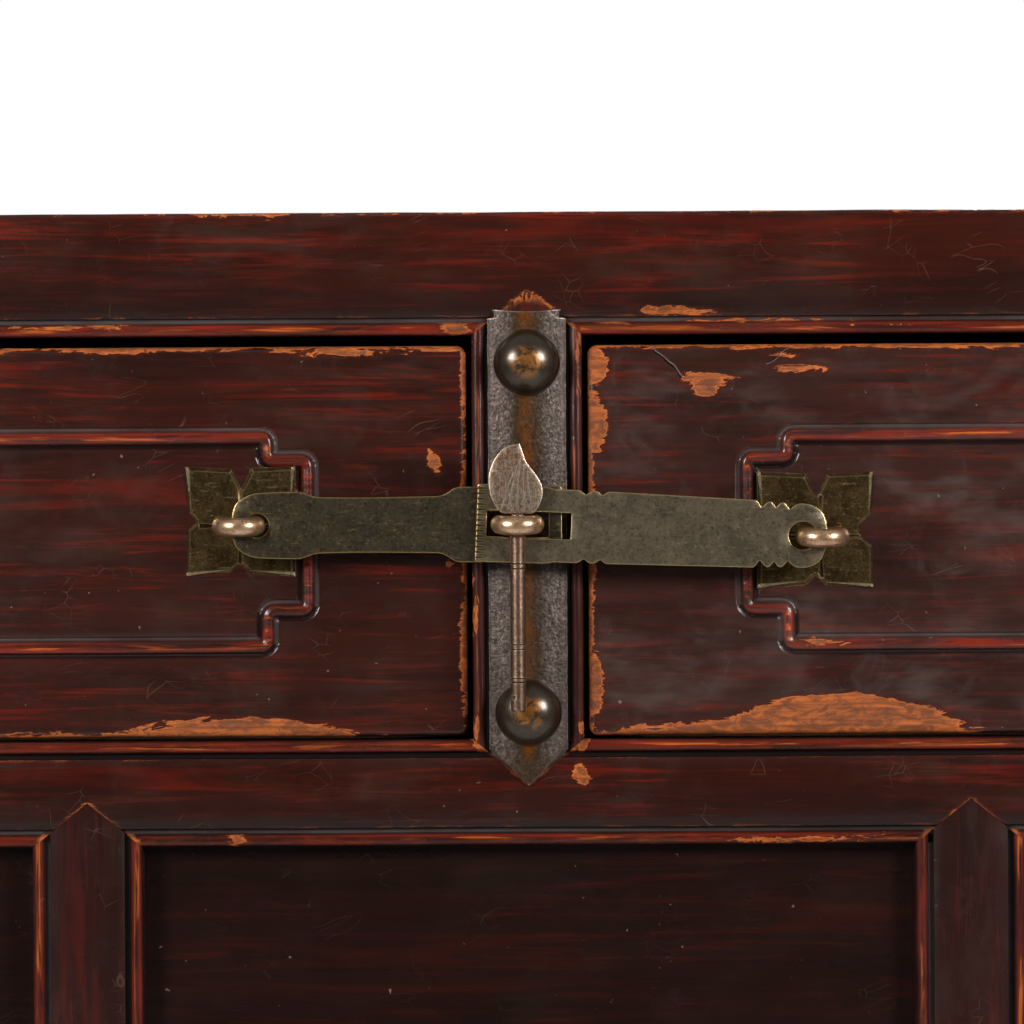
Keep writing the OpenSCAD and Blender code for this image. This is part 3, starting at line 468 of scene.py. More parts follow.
@dataclass(frozen=True)
class Metal:
    """Old metal of the lock fittings: patina in clouds, worn bright at the edges, dark in corners."""

    name: str
    base: Colour
    patina: Colour
    bright: Colour
    rough: float = 0.38
    clouds: float = 160.0
    mottle: float = 0.8
    arris_reach: float = 0.6 * MM
    corner_reach: float = 1.1 * MM
    pits: float = 1100.0
    pit_depth: float = 0.03 * MM
    scratch: float = 0.35
    metallic: float = 0.92
    coat: float = 0.0
    coat_rough: float = 0.12
    line: Colour = tone(24, 18, 12)
    seed: float = 0.0

    def toned(self, g: Graph, colour: Wire) -> Wire:
        """Extra tones that one fitting has; none on the plain metal."""
        return colour

    def build(self) -> bpy.types.Material:
        """Makes the material.

        Returns:
            The metal, ready for a material slot.
        """
        g = Graph(self.name)
        shift = (self.seed, 2.0 * self.seed, 1.0)
        cloud = g.noise(self.clouds, 5, 0.7, shift, 0.5)
        speck = g.noise(self.clouds * 7, 3, 0.6, shift)
        grains = g.noise(self.pits, 3, 0.6, shift)
        lines = g.noise((150, 3200, 900), 2, 0.6, shift)
        crossing = g.noise((2600, 200, 700), 2, 0.6, shift)
        scratch = (lines.step(0.6, 0.74) | crossing.step(0.64, 0.78)) * self.scratch
        arris, corner = g.near(self.arris_reach, True), g.near(self.corner_reach, False)
        patina = g.mix(cloud.step(0.34, 0.68) * self.mottle, self.base, self.patina)
        colour = g.layers(
            self.toned(g, patina),
            (speck.step(0.56, 0.76) * 0.22, self.bright),
            ((1 - speck).step(0.54, 0.72) * 0.3, self.line),
            ((1 - grains).step(0.52, 0.7) * 0.5, self.line),
            (scratch * 0.5, self.bright),
            (arris.step(0.13, 0.27), self.bright),
            (corner.step(0.3, 0.8) * 0.75, self.line))
        relief = grains * self.pit_depth + cloud * (0.10 * MM) - scratch * (0.01 * MM)
        rough = cloud * 0.18 + grains * 0.12 + (self.rough - 0.15) + corner * 0.2
        rough = rough - arris.step(0.2, 0.5) * 0.12
        return g.surface(colour, rough & 1.0, relief, self.metallic, coat=self.coat,
                         coat_rough=self.coat_rough)


@dataclass(frozen=True)
class PlateMetal(Metal):
    """Grey sheet of the stile, browned down its middle and at its foot."""

    middle: Colour = tone(74, 52, 27)
    streak: Colour = tone(140, 78, 24)
    # Dark grey of the painted shade along the plate's bent edges.
    edge: Colour = tone(50, 42, 38)
    grain_dark: Colour = tone(54, 45, 40)
    grain_pale: Colour = tone(142, 128, 118)
    foot_low: float = 0.664
    foot_high: float = 0.676

    def toned(self, g: Graph, colour: Wire) -> Wire:
        """Leathery grain, brown middle with an orange streak, olive foot, and painted shade darkening the
        edges where the plate bends away.

        Args:
            g: The material under construction.
            colour: The metal's mottled colour.

        Returns:
            The metal's own colour.
        """
        across = abs(g.axis("X") + (g.noise((60, 60, 40), 2, 0.5, (1, 2, 4)) - 0.5) * (3 * MM))
        stain = g.noise((80, 80, 30), 4, 0.65, (4, 4, 4)).step(0.36, 0.6)
        foot = 1 - g.axis("Z").step(self.foot_low, self.foot_high)
        leather = g.noise(1050, 3, 0.55, (6, 1, 6), 0.6)
        core = (1 - across.step(3.0 * MM, 6.4 * MM)) * (stain * 0.3 + 0.62)
        heel = foot * (1 - across.step(6.5 * MM, 11.0 * MM)) * (stain * 0.2 + 0.7)
        streak = (1 - across.step(0.4 * MM, 3.2 * MM)) * (stain * 0.75 + 0.15) * (1 - foot)
        return g.layers(
            colour,
            (leather.step(0.48, 0.62) * 0.5, self.grain_dark),
            ((1 - leather).step(0.5, 0.64) * 0.45, self.grain_pale),
            (core | heel, self.middle),
            (streak, self.streak),
            # Painted shade: the edges darkened where the bent plate turns away from the light.
            (across.step(8.5 * MM, 12.4 * MM) * 0.7, self.edge))


@dataclass(frozen=True)
class BossMetal(Metal):
    """Bronze of the domed nails with golden rubbed patches."""

    gold: Colour = tone(176, 112, 44)
    # Dark brown of the painted shade at the dome's foot.
    skirt: Colour = tone(34, 25, 17)

    def toned(self, g: Graph, colour: Wire) -> Wire:
        """Gold where the dome is rubbed, and painted shade darkening its foot.

        Args:
            g: The material under construction.
            colour: The metal's mottled colour.

        Returns:
            The metal's own colour.
        """
        rubbed = g.noise(260, 4, 0.7, (1, 5, 2), 0.6).step(0.42, 0.6)
        crown = g.attribute("crown")
        return g.layers(colour, (rubbed * crown.step(0.82, 0.99) * 0.85, self.gold),
                        # Painted shade: the dome darkened toward its foot.
                        ((1 - crown).step(0.3, 0.9) * 0.6, self.skirt))


@dataclass(frozen=True)
class LeafMetal(Metal):
    """Brushed bronze of the pin's leaf, with fine strokes and a coppery bloom."""

    bloom: Colour = tone(150, 92, 50)

    def toned(self, g: Graph, colour: Wire) -> Wire:
        """Fine strokes both ways and a coppery bloom in the middle.

        Args:
            g: The material under construction.
            colour: The metal's mottled colour.

        Returns:
            The metal's own colour.
        """
        bloom = g.noise(130, 3, 0.6, (7, 2, 2), 0.5).step(0.42, 0.62)
        strokes = g.noise((2600, 200, 420), 2, 0.6, (2, 2, 5), 0.3).step(0.5, 0.64)
        back = g.noise((420, 200, 2400), 2, 0.6, (5, 1, 2), 0.3).step(0.54, 0.66)
        fine = g.noise((1500, 200, 900), 2, 0.6, (9, 9, 5)).step(0.52, 0.66)
        return g.layers(colour, (bloom * 0.45, self.bloom), (strokes * 0.35 | back * 0.3, self.bright),
                        (fine * 0.45, self.line))


class Skin:
    """A mesh under construction: grids of points, joined and closed into one piece."""

    def __init__(self, name: str) -> None:
        """Starts an empty mesh.

        Args:
            name: Name of the mesh and of its object.
        """
        self.name = name
        self.points: list[Spot] = []
        self.faces: list[tuple[int, ...]] = []
        self.marks: dict[str, Sequence[float]] = {}

    def grid(self, rows: Sequence[Sequence[Spot]], loop: bool = False) -> "Skin":
        """Adds a skin over rows of points, all of one length.

        Args:
            rows: Points, row by row.
            loop: Whether each row closes on itself.

        Returns:
            This skin, for the next call.
        """
        start = len(self.points)
        wide = len(rows[0])
        for row in rows:
            self.points.extend(tuple(p) for p in row)
        for r in range(len(rows) - 1):
            for c in range(wide if loop else wide - 1):
                a, b = start + r * wide + c, start + r * wide + (c + 1) % wide
                self.faces.append((a, b, b + wide, a + wide))
        return self

    def cap(self, first: int, count: int) -> "Skin":
        """Adds one face over a run of points that form a ring."""
        self.faces.append(tuple(range(first, first + count)))
        return self

    def tube(self, rows: Sequence[Sequence[Spot]]) -> "Skin":
        """Adds a solid over rings of points, closed at both ends."""
        start, wide = len(self.points), len(rows[0])
        self.grid(rows, True)
        return self.cap(start, wide).cap(len(self.points) - wide, wide)

    def mark(self, name: str, values: Sequence[float]) -> "Skin":
        """Writes a value on each point of the first grid, for the finish to read; 0 elsewhere."""
        self.marks[name] = values
        return self

    def piece(self, body: Union[str, None] = None, flat_angle: float = CRISP) -> bpy.types.Object:
        """Makes the object.

        Args:
            body: CAD body that the piece rides on, or None for the stage and for cutters.
            flat_angle: Edges bent more than this, in degrees, stay crisp.

        Returns:
            The new object.
        """
        mesh = bpy.data.meshes.new(self.name)
        mesh.from_pydata(self.points, [], self.faces)
        for name, values in self.marks.items():
            full = list(values) + [0.0] * (len(self.points) - len(values))
            mesh.attributes.new(name, "FLOAT", "POINT").data.foreach_set("value", full)
        mesh.validate()
        made = bmesh.new()
        made.from_mesh(mesh)
        bmesh.ops.remove_doubles(made, verts=made.verts, dist=WELD)
        bmesh.ops.recalc_face_normals(made, faces=made.faces)
        made.to_mesh(mesh)
        made.free()
        shaded(mesh, flat_angle)
        return placed(bpy.data.objects.new(self.name, mesh), body)


def shaded(mesh: bpy.types.Mesh, flat_angle: float = CRISP) -> None:
    """Shades a mesh smooth, with crisp edges where it bends more than an angle in degrees."""
    mesh.shade_smooth()
    mesh.set_sharp_from_angle(angle=math.radians(flat_angle))


def placed(thing: bpy.types.Object, body: Union[str, None] = None) -> bpy.types.Object:
    """Links an object to the scene.

    Args:
        thing: The object.
        body: Body that it rides on, if it rides.

    Returns:
        The same object.
    """
    bpy.context.scene.collection.objects.link(thing)
    if body:
        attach(thing, body)
    return thing


def settled(thing: bpy.types.Object) -> bpy.types.Mesh:
    """The mesh of an object with its curve or its modifiers worked out."""
    bpy.context.view_layer.update()
    return bpy.data.meshes.new_from_object(thing.evaluated_get(bpy.context.evaluated_depsgraph_get()))


def carve(piece: bpy.types.Object, cutters: Iterable[bpy.types.Object]) -> bpy.types.Object:
    """Cuts solids out of a piece and throws them away.

    Args:
        piece: The piece.
        cutters: The solids.

    Returns:
        The same piece.
    """
    for cutter in cutters:
        cut = piece.modifiers.new("cut", "BOOLEAN")
        cut.operation = "DIFFERENCE"
        cut.solver = "EXACT"
        cut.object = cutter
        shaped = settled(piece)
        piece.modifiers.remove(cut)
        piece.data = shaped
        bpy.data.objects.remove(cutter)
    shaded(piece.data)
    return piece


def ring(centre: Point, radius: float, count: int) -> list[Point]:
    """Points of a circle, from the right and anticlockwise."""
    turns = np.linspace(0, 2 * math.pi, count, False)
    return [(centre[0] + radius * math.cos(t), centre[1] + radius * math.sin(t)) for t in turns]


def softened(corners: Sequence[Corner], steps: int = 5, unit: float = MM) -> list[Point]:
    """Replaces each corner of a closed outline by an arc of its own radius.

    Args:
        corners: Points with the radius of each corner.
        steps: Pieces in each arc.
        unit: Length of the corners' unit, in metres.

    Returns:
        Points of the softened outline, in metres.
    """
    path = []
    count = len(corners)
    for i, (x, z, radius) in enumerate(corners):
        here = Vector((x, z))
        before = Vector(corners[i - 1][:2]) - here
        after = Vector(corners[(i + 1) % count][:2]) - here
        reach = min(radius, before.length * 0.48, after.length * 0.48)
        before, after = before.normalized() * reach, after.normalized() * reach
        for s in range(steps + 1):
            share = s / steps
            bend = here + before * (1 - share) ** 2 + after * share ** 2
            path.append((bend.x * unit, bend.y * unit))
    return path


def wander(spot: Sequence[float], cells: float, size: float) -> float:
    """Slow hand-made unevenness, the same on every run.

    Args:
        spot: Point that is asked about.
        cells: Waves per metre.
        size: Largest departure.

    Returns:
        Departure at the point, from -size to size.
    """
    return noise.noise(Vector(spot) * cells) * size


@dataclass(frozen=True)
class Layout:
    """Places of the frame's members, from the table's driving sizes and the frame's own box."""

    table_w: float = 930 * MM
    table_h: float = 850 * MM
    leg_w: float = 46 * MM
    stile_w: float = 36.6 * MM
    top_rail_h: float = 41 * MM
    top_rail_d: float = 64 * MM
    drawer_h: float = 129 * MM
    gap_top: float = 3.3 * MM
    gap_bottom: float = 1.0 * MM
    drawer_rail_h: float = 35 * MM
    frieze_h: float = 66 * MM
    lower_rail_h: float = 32 * MM
    member_d: float = 30 * MM
    shoulder: float = math.tan(math.radians(39))
    shoulder_t: float = 9 * MM

    front_y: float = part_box("top_front_rail")[0].y
    back_y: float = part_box("top_back_rail")[1].y
    depth: float = back_y - front_y
    open_top: float = table_h - top_rail_h
    open_bottom: float = open_top - gap_top - drawer_h - gap_bottom
    frieze_top: float = open_bottom - drawer_rail_h
    frieze_bottom: float = frieze_top - frieze_h
    apron_top: float = frieze_bottom - lower_rail_h
    inner_x: float = table_w / 2 - leg_w
    bay_w: float = (2 * inner_x - 2 * stile_w) / 3
    post_x: float = (bay_w + stile_w) / 2


class Side(Enum):
    """The four sides of the table, with their turn about the upright axis."""

    FRONT = 0
    LEFT = -90
    BACK = 180
    RIGHT = 90

    def place(self, along: float, up: float, deep: float) -> Spot:
        """A point of this side, seen from outside.

        Args:
            along: Distance to the viewer's right of the side's middle.
            up: Height.
            deep: Distance behind the side's crown plane.

        Returns:
            The point in the frame.
        """
        middle_y = (Layout.front_y + Layout.back_y) / 2
        half = Layout.depth / 2 if self in (Side.FRONT, Side.BACK) else Layout.table_w / 2
        cos, sin = math.cos(math.radians(self.value)), math.sin(math.radians(self.value))
        x, y = along, deep - half
        return (x * cos - y * sin, middle_y + x * sin + y * cos, up)


@dataclass(frozen=True)
class Moulding:
    """Face of a frame member: a crowned field with a rolled bead at its edge."""

    bead_r: float = 2.05 * MM
    bead_set: float = 0.7 * MM
    bead_in: float = 0.1 * MM
    groove: float = 1.7 * MM
    floor: float = 3.4 * MM
    fall: float = 2.2 * MM
    arris: float = 1.6 * MM
    fine: float = 0.34 * MM
    coarse: float = 1.6 * MM

    def crown(self, edge: float, middle: float) -> float:
        """Depth of the crowned field.

        Args:
            edge: Distance from the member's beaded edge.
            middle: Distance of the crown's highest line from that edge.

        Returns:
            Depth behind the crown.
        """
        share = abs(middle - edge) / (middle - 2 * self.bead_r - self.groove)
        if edge > middle:
            return 0.25 * self.fall * share ** 2
        if share >= 1:
            return self.floor
        return self.fall * (0.42 * share ** 2 + 0.58 * (1 - math.sqrt(1 - share ** 5)))

    def depth(self, edge: float, middle: float) -> float:
        """Depth of the whole face, bead, groove and crown together."""
        off = (edge - self.bead_r - self.bead_in) / self.bead_r
        bead = self.bead_set + self.bead_r * (1 - math.sqrt(1 - off * off)) if abs(off) < 1 else self.floor
        return min(bead, self.crown(edge, middle), self.floor)

    def marks(self, edge: float, middle: float, lower: bool) -> dict[str, float]:
        """What the finish needs to know about a place on the face.

        Args:
            edge: Distance from the nearer beaded edge.
            middle: Distance of the crown's highest line from that edge.
            lower: Whether the place lies below the crown's highest line.

        Returns:
            How much of the bead, of a groove lit from above, of a groove in shade and of the
            shaded lower slope it is.
        """
        off = (edge - self.bead_r - self.bead_in) / self.bead_r
        groove = 1.0 if 2 * self.bead_r < edge < 2 * self.bead_r + self.groove else 0.0
        reach = middle - 2 * self.bead_r - self.groove
        slope = min(1.0, (middle - edge) / reach) if lower and edge > 2 * self.bead_r else 0.0
        return {"roll": max(0.0, 1 - off * off), "rim": groove * lower, "sunk": groove * (not lower),
                "slope": slope ** 1.2}

    def samples(self, width: float, double: bool) -> list[float]:
        """Distances at which the face is drawn, close together on the bead.

        Args:
            width: Width of the face.
            double: Whether both edges have a bead.

        Returns:
            Distances from the edge, rising.
        """
        fine = [i * self.fine for i in range(19)]
        start = fine[-1]
        stop = width - start if double else width - self.arris
        steps = max(10, round((stop - start) / self.coarse))
        middle = [start + (stop - start) * i / steps for i in range(1, steps)]
        if double:
            return fine + middle + [width - f for f in reversed(fine)]
        return fine + middle + [stop + self.arris * i / 5 for i in range(6)]


MOULDING = Moulding()


class Member:
    """What the beaded members of the front share."""

    name: str
    node: str

    def solid(self, rows: Sequence[Sequence[Spot]], told: Sequence[dict[str, float]],
              cutters: Iterable[bpy.types.Object]) -> bpy.types.Object:
        """Closes the member's sections into a solid and cuts its notches.

        Args:
            rows: Sections along the member.
            told: Marks of each point of the face.
            cutters: Solids to take away.

        Returns:
            The finished object.
        """
        skin = Skin(self.name).tube(rows)
        for mark in told[0]:
            skin.mark(mark, [t[mark] for t in told] * len(rows))
        return carve(skin.piece("frame"), cutters)

    @staticmethod
    def notch(outline: Sequence[Point]) -> bpy.types.Object:
        """Cutter for the pointed shoulder of a bar that enters the member from the front."""
        rows = [[Side.FRONT.place(a, z, deep) for a, z in outline] for deep in (-2 * MM, Layout.shoulder_t)]
        return Skin("notch").tube(rows).piece()


@dataclass
class Bar(Member):
    """A beaded rail or upright of the front with pointed shoulders."""

    name: str
    node: str
    width: float
    low: float
    high: float
    centre: float
    upright: bool = False
    notches: Sequence[tuple[float, int]] = ()

    def spot(self, along: float, across: float, deep: float) -> Spot:
        """A point of the bar, with the small unevenness of hand work.

        Args:
            along: Distance along the bar.
            across: Distance from its middle line.
            deep: Distance behind its crown plane.

        Returns:
            The point in the frame.
        """
        deep += wander((along, across * 2, self.centre), 22, 0.22 * MM) + 0.16 * MM
        across += wander((along, self.centre, 3.0), 16, 0.16 * MM)
        if self.upright:
            return Side.FRONT.place(self.centre + across, along, deep)
        return Side.FRONT.place(along, self.centre + across, deep)

    def build(self) -> bpy.types.Object:
        """Makes the bar, with its points and the notches for the bars that enter it.

        Returns:
            The finished object.
        """
        half, back, front = self.width / 2, Layout.member_d, Layout.shoulder_t
        face = [(t - half, MOULDING.depth(min(t, self.width - t), half))
                for t in MOULDING.samples(self.width, True)]
        face = [(-half, back), (-half, front)] + face + [(half, front), (half, back)]
        told = [MOULDING.marks(half - abs(across), half, across < 0) for across, _ in face]
        # On uprights the painted shade of the slope falls on the left half, at a quarter of its strength.
        if self.upright:
            told = [dict(t, slope=t["slope"] * 0.25) for t in told]
        steps = max(2, round((self.high - self.low) / ((2.5 if self.upright else 4) * MM)))
        rows = []
        for i in range(steps + 1):
            row = []
            for across, deep in face:
                point = max(0.0, half - abs(across)) * Layout.shoulder if deep < front else 0.0
                along = self.low - point + i / steps * (self.high - self.low + 2 * point)
                row.append(self.spot(along, across, deep))
            rows.append(row)
        return self.solid(rows, told, [self.entry(at, way) for at, way in self.notches])

    def entry(self, at: float, way: int) -> bpy.types.Object:
        """Cutter for the point of an upright that enters this rail.

        Args:
            at: Place of the upright's middle along this rail.
            way: 1 where it enters through the upper edge, -1 through the lower.

        Returns:
            The cutter.
        """
        half = Layout.stile_w / 2
        edge = self.centre + way * self.width / 2
        tip, past = edge - way * half * Layout.shoulder, edge + way * 2 * MM
        left, right = at - half, at + half
        return self.notch([(left, past), (left, edge), (at, tip), (right, edge), (right, past)])


@dataclass
class TopRail(Member):
    """The front rail of the table's top, mitred to its neighbours and to the legs below."""

    name: str = "top_front_moulding"
    node: str = "top_front_rail"
    crown_at: float = 0.66
    lip_d: float = 6 * MM

    def build(self) -> bpy.types.Object:
        """Makes the rail.

        Returns:
            The finished object.
        """
        span, height, deep_end, low = Layout.table_w, Layout.top_rail_h, Layout.top_rail_d, Layout.open_top
        face = []
        for t in MOULDING.samples(height, False):
            over = max(0.0, t - (height - MOULDING.arris)) / MOULDING.arris
            turned = MOULDING.arris * (1 - math.sqrt(max(0.0, 1 - over * over)))
            face.append((t, MOULDING.depth(t, self.crown_at * height) + turned))
        face += [(height, self.lip_d), (height, deep_end), (0.0, deep_end), (0.0, self.lip_d)]
        told = [MOULDING.marks(t, self.crown_at * height, t < self.crown_at * height) for t, _ in face]
        steps = round(span / (4 * MM))
        rows = []
        for i in range(steps + 1):
            row = []
            for t, deep in face:
                start = max(deep, Layout.leg_w * (height - t) / height)
                along = (i / steps - 0.5) * (span - 2 * start)
                sag = wander((along, t * 3, 1.0), 18, 0.22 * MM) + 0.2 * MM
                top = wander((along, 5.0, deep), 30, 0.2 * MM) + 0.25 * MM if t > height - 2 * MM else 0.0
                row.append(Side.FRONT.place(along, low + t - top, deep + (sag if deep < deep_end else 0)))
            rows.append(row)
        half = Layout.stile_w / 2
        tip, past = low + half * Layout.shoulder, low - 2 * MM
        outline = [(-half, past), (half, past), (half, low), (0, tip), (-half, low)]
        return self.solid(rows, told, [self.notch(outline)])


@dataclass(frozen=True)
class Rubbed:
    """A rounded patch where the lacquer is gone, placed on the table's front in millimetres."""

    x: float
    z: float
    wide: float
    high: float
    lean: float = 0.0

    def wire(self, g: Graph) -> Wire:
        """How far the surface lies inside the patch.

        Args:
            g: The material under construction.

        Returns:
            Signed distance from the patch's edge, in millimetres.
        """
        wide, high = self.wide / 2 * MM, self.high / 2 * MM
        flat = g.vector("MULTIPLY_ADD", g.place(), (1 / wide, 0.0, 1 / high),
                        (-self.x * MM / wide, 0.0, -self.z * MM / high))
        if self.lean:
            tilt = g.vector("DOT_PRODUCT", flat, (1, 0, 0), output="Value")
            flat = g.vector("ADD", flat, g.node("CombineXYZ", {}, {"Z": tilt * (-self.lean * wide / high)}))
        size = g.vector("LENGTH", flat, output="Value")
        return (1 - size) * min(self.wide, self.high) * 0.5

    def inside(self, x: np.ndarray, z: np.ndarray) -> np.ndarray:
        """Signed distance inside the patch's edge in millimetres, for points in metres."""
        across = (x / MM - self.x) / (self.wide / 2)
        up = (z / MM - self.z - self.lean * (x / MM - self.x)) / (self.high / 2)
        return (1 - np.hypot(across, up)) * min(self.wide, self.high) / 2


@dataclass(frozen=True)
class Crack:
    """A fine split in the lacquer from one point to another, with one lip lifted, in millimetres."""

    x: float
    z: float
    to_x: float
    to_z: float
    wide: float

    def wires(self, g: Graph) -> tuple[Wire, Wire]:
        """Draws the crack.

        Args:
            g: The material under construction.

        Returns:
            The split and its pale lip, as masks.
        """
        start = Vector((self.x, self.z))
        run = Vector((self.to_x - self.x, self.to_z - self.z))
        way, side = run.normalized(), Vector((-run.y, run.x)).normalized()
        along, across = (g.vector("DOT_PRODUCT", g.place(), (v.x / MM, 0.0, v.y / MM), output="Value")
                         - v.dot(start) for v in (way, side))
        across = across + (g.noise(160, 3, 0.6, (self.x, 1, 1)) - 0.5) * 3.0
        inside = along.step(-0.3, 0.3) * (1 - along.step(run.length - 0.3, run.length + 0.3))
        split = (1 - abs(across).step(self.wide * 0.4, self.wide)) * inside
        lip = (1 - abs(across - 1.6 * self.wide).step(self.wide * 0.3, self.wide)) * inside
        return split, lip


def ruled(low: float, high: float, hot: Iterable[float], coarse: float) -> np.ndarray:
    """Grid lines that crowd together near chosen places.

    Args:
        low: First line.
        high: Last line.
        hot: Places that need fine spacing.
        coarse: Spacing elsewhere.

    Returns:
        The places of the lines, rising.
    """
    reach, fine = 4.2 * MM, 0.5 * MM
    lines, at = [low], low
    while at < high:
        near = any(abs(at + fine / 2 - h) < reach for h in hot)
        ahead = [h - reach for h in hot if h - reach > at + 1e-9]
        at += fine if near else min([coarse] + [max(fine, h - at) for h in ahead])
        lines.append(min(at, high))
    if lines[-1] - lines[-2] < fine / 3:
        lines.pop(-2)
    return np.array(lines)


def offsets(path: Sequence[Point], x: np.ndarray, z: np.ndarray) -> tuple[np.ndarray, np.ndarray]:
    """Where many points lie by a closed path.

    Args:
        path: Corners of the path.
        x: First coordinate of the points.
        z: Second coordinate.

    Returns:
        The distance of each point from the path, and whether it lies inside.
    """
    away = np.full(x.shape, 1e9)
    inside = np.zeros(x.shape, bool)
    for (ax, az), (bx, bz) in zip(path, list(path[1:]) + [path[0]]):
        dx, dz = bx - ax, bz - az
        share = np.clip(((x - ax) * dx + (z - az) * dz) / (dx * dx + dz * dz), 0, 1)
        away = np.minimum(away, np.hypot(x - ax - share * dx, z - az - share * dz))
        if az != bz:
            inside ^= ((az > z) != (bz > z)) & (x < dx * (z - az) / dz + ax)
    return away, inside


@dataclass
class DrawerFace:
    """Front board of a drawer with its stepped bead frame and rubbed edges."""

    side: str
    way: int
    rubbed: Sequence[Rubbed]
    thick: float = 20 * MM
    margin: float = 52.5 * MM
    frame_h: float = 69 * MM
    tab: float = 13.4 * MM
    tab_up: float = 7.6 * MM
    tab_down: float = 12.0 * MM
    bend_r: float = 2.6 * MM
    bead_half: float = 2.0 * MM
    bead_h: float = 1.35 * MM
    groove_w: float = 1.7 * MM
    groove_d: float = 0.75 * MM
    field_rise: float = 1.15 * MM
    lacquer_t: float = 0.18 * MM
    corner_r: float = 3.4 * MM
    edge_r: float = 2.3 * MM
    inset: float = 0.15 * MM

    def __post_init__(self) -> None:
        """Takes the board's outline from its CAD node."""
        self.node, self.body = f"drawer_{self.side}_front", f"drawer_{self.side}"
        low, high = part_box(self.node)
        self.x0, self.x1, self.z0, self.z1 = low.x, high.x, low.z, high.z

    def frame_corners(self) -> list[Point]:
        """Lays out the stepped frame.

        Returns:
            Corners of its centre line.
        """
        left, right = self.x0 + self.margin, self.x1 - self.margin
        middle = (self.z0 + self.z1) / 2
        top, low = middle + self.frame_h / 2, middle - self.frame_h / 2
        up, down, tab = top - self.tab_up, low + self.tab_down, self.tab
        return [(left, up), (left, down), (left + tab, down), (left + tab, low), (right - tab, low),
                (right - tab, down), (right, down), (right, up), (right - tab, up), (right - tab, top),
                (left + tab, top), (left + tab, up)]

    def relief(self, x: np.ndarray, z: np.ndarray) -> tuple[np.ndarray, dict[str, np.ndarray]]:
        """Works out the face over a grid of points.

        Args:
            x: Place of the points along the board.
            z: Height of the points.

        Returns:
            Height above the flat with the worn patches sunk, and the marks of the bead and its grooves, those
            facing the light marked for a painted highlight and the others for painted shade.
        """
        path = softened([(*c, self.bend_r) for c in self.frame_corners()], unit=1.0)
        off, inside = offsets(path, x, z)
        roll = np.clip(1 - (off / self.bead_half) ** 2, 0, 1)
        groove = np.clip(1 - ((off - self.bead_half - self.groove_w / 2) / (self.groove_w / 2)) ** 2, 0, 1)
        middle = self.field_rise * (1 - np.exp(-np.clip(off - 3 * MM, 0, None) / (11 * MM))) * inside
        shoulder = 0.25 * MM * np.exp(-np.clip(off - 3.4 * MM, 0, None) / (2.5 * MM)) * ~inside
        sink = np.zeros(x.shape)
        for patch in self.rubbed:
            sink = np.maximum(sink, np.clip(patch.inside(x, z) / 2.5, 0, 1) * self.lacquer_t)
        # Grooves above their bead, and outer ones at the sides, take a painted highlight; the rest take
        # painted shade.
        rise = np.gradient(off, z[:, 0], axis=0)
        lit = (rise > 0.3) | ((np.abs(rise) <= 0.3) & ~inside)
        height = np.sqrt(roll) * self.bead_h - groove * self.groove_d + middle + shoulder - sink
        return height, {"roll": roll, "rim": groove * lit, "sunk": groove * ~lit}

    def rounded(self, x: np.ndarray, z: np.ndarray) -> tuple[np.ndarray, np.ndarray, np.ndarray]:
        """Draws the grid in to rounded corners.

        Args:
            x: Place of the points along the board.
            z: Height of the points.

        Returns:
            The new places and heights, and how far the rounded arris falls at each point.
        """
        r = self.corner_r
        over_x = np.maximum(np.maximum(self.x0 + r - x, x - self.x1 + r), 0)
        over_z = np.maximum(np.maximum(self.z0 + r - z, z - self.z1 + r), 0)
        beyond = np.hypot(over_x, over_z)
        both = (over_x > 0) & (over_z > 0) & (beyond > r)
        pull = np.where(both, r / np.maximum(beyond, WELD / 1000), 1.0)
        x = np.where(both, x + np.sign(self.x0 + self.x1 - 2 * x) * over_x * (1 - pull), x)
        z = np.where(both, z + np.sign(self.z0 + self.z1 - 2 * z) * over_z * (1 - pull), z)
        edge = np.clip(np.where(beyond > 0, r - beyond, r), 0, None)
        fall = np.clip(self.edge_r - edge, 0, self.edge_r)
        return x, z, self.edge_r - np.sqrt(np.clip(self.edge_r ** 2 - fall ** 2, 0, None))

    def build(self) -> bpy.types.Object:
        """Makes the board.

        Returns:
            The finished object.
        """
        corners = self.frame_corners()
        xs = ruled(self.x0, self.x1, {c[0] for c in corners} | {self.x0, self.x1}, 2.2 * MM)
        zs = ruled(self.z0, self.z1, {c[1] for c in corners} | {self.z0, self.z1}, 1.8 * MM)
        x, z = np.meshgrid(xs, zs)
        height, marks = self.relief(x, z)
        x, z, fall = self.rounded(x, z)
        height = height - fall
        rows = []
        for i in range(x.shape[0]):
            row = []
            for j in range(x.shape[1]):
                bow = wander((x[i, j], z[i, j] * 1.5, self.way), 13, 0.35 * MM)
                bow += wander((x[i, j], z[i, j], 4.0), 60, 0.05 * MM)
                row.append((x[i, j], DRAWER_Y - height[i, j] - bow, z[i, j]))
            rows.append(row)
        skin = Skin(f"{self.body}_face").grid(rows)
        for name, values in marks.items():
            skin.mark(name, values.ravel().tolist())
        rim = rows[0] + [row[-1] for row in rows[1:]] + rows[-1][-2::-1] + [row[0] for row in rows[-2:0:-1]]
        centre_x, half_x = (self.x0 + self.x1) / 2, (self.x1 - self.x0) / 2
        centre_z, half_z = (self.z0 + self.z1) / 2, (self.z1 - self.z0) / 2
        loops = [rim]
        for deep, inset in ((self.edge_r + 1.5 * MM, 0.0), (7 * MM, self.inset), (self.thick, self.inset)):
            loops.append([(centre_x + (p[0] - centre_x) * (1 - inset / half_x), DRAWER_Y + deep,
                           centre_z + (p[2] - centre_z) * (1 - inset / half_z)) for p in rim])
        skin.grid(loops, True)
        return skin.cap(len(skin.points) - len(rim), len(rim)).piece(self.body)


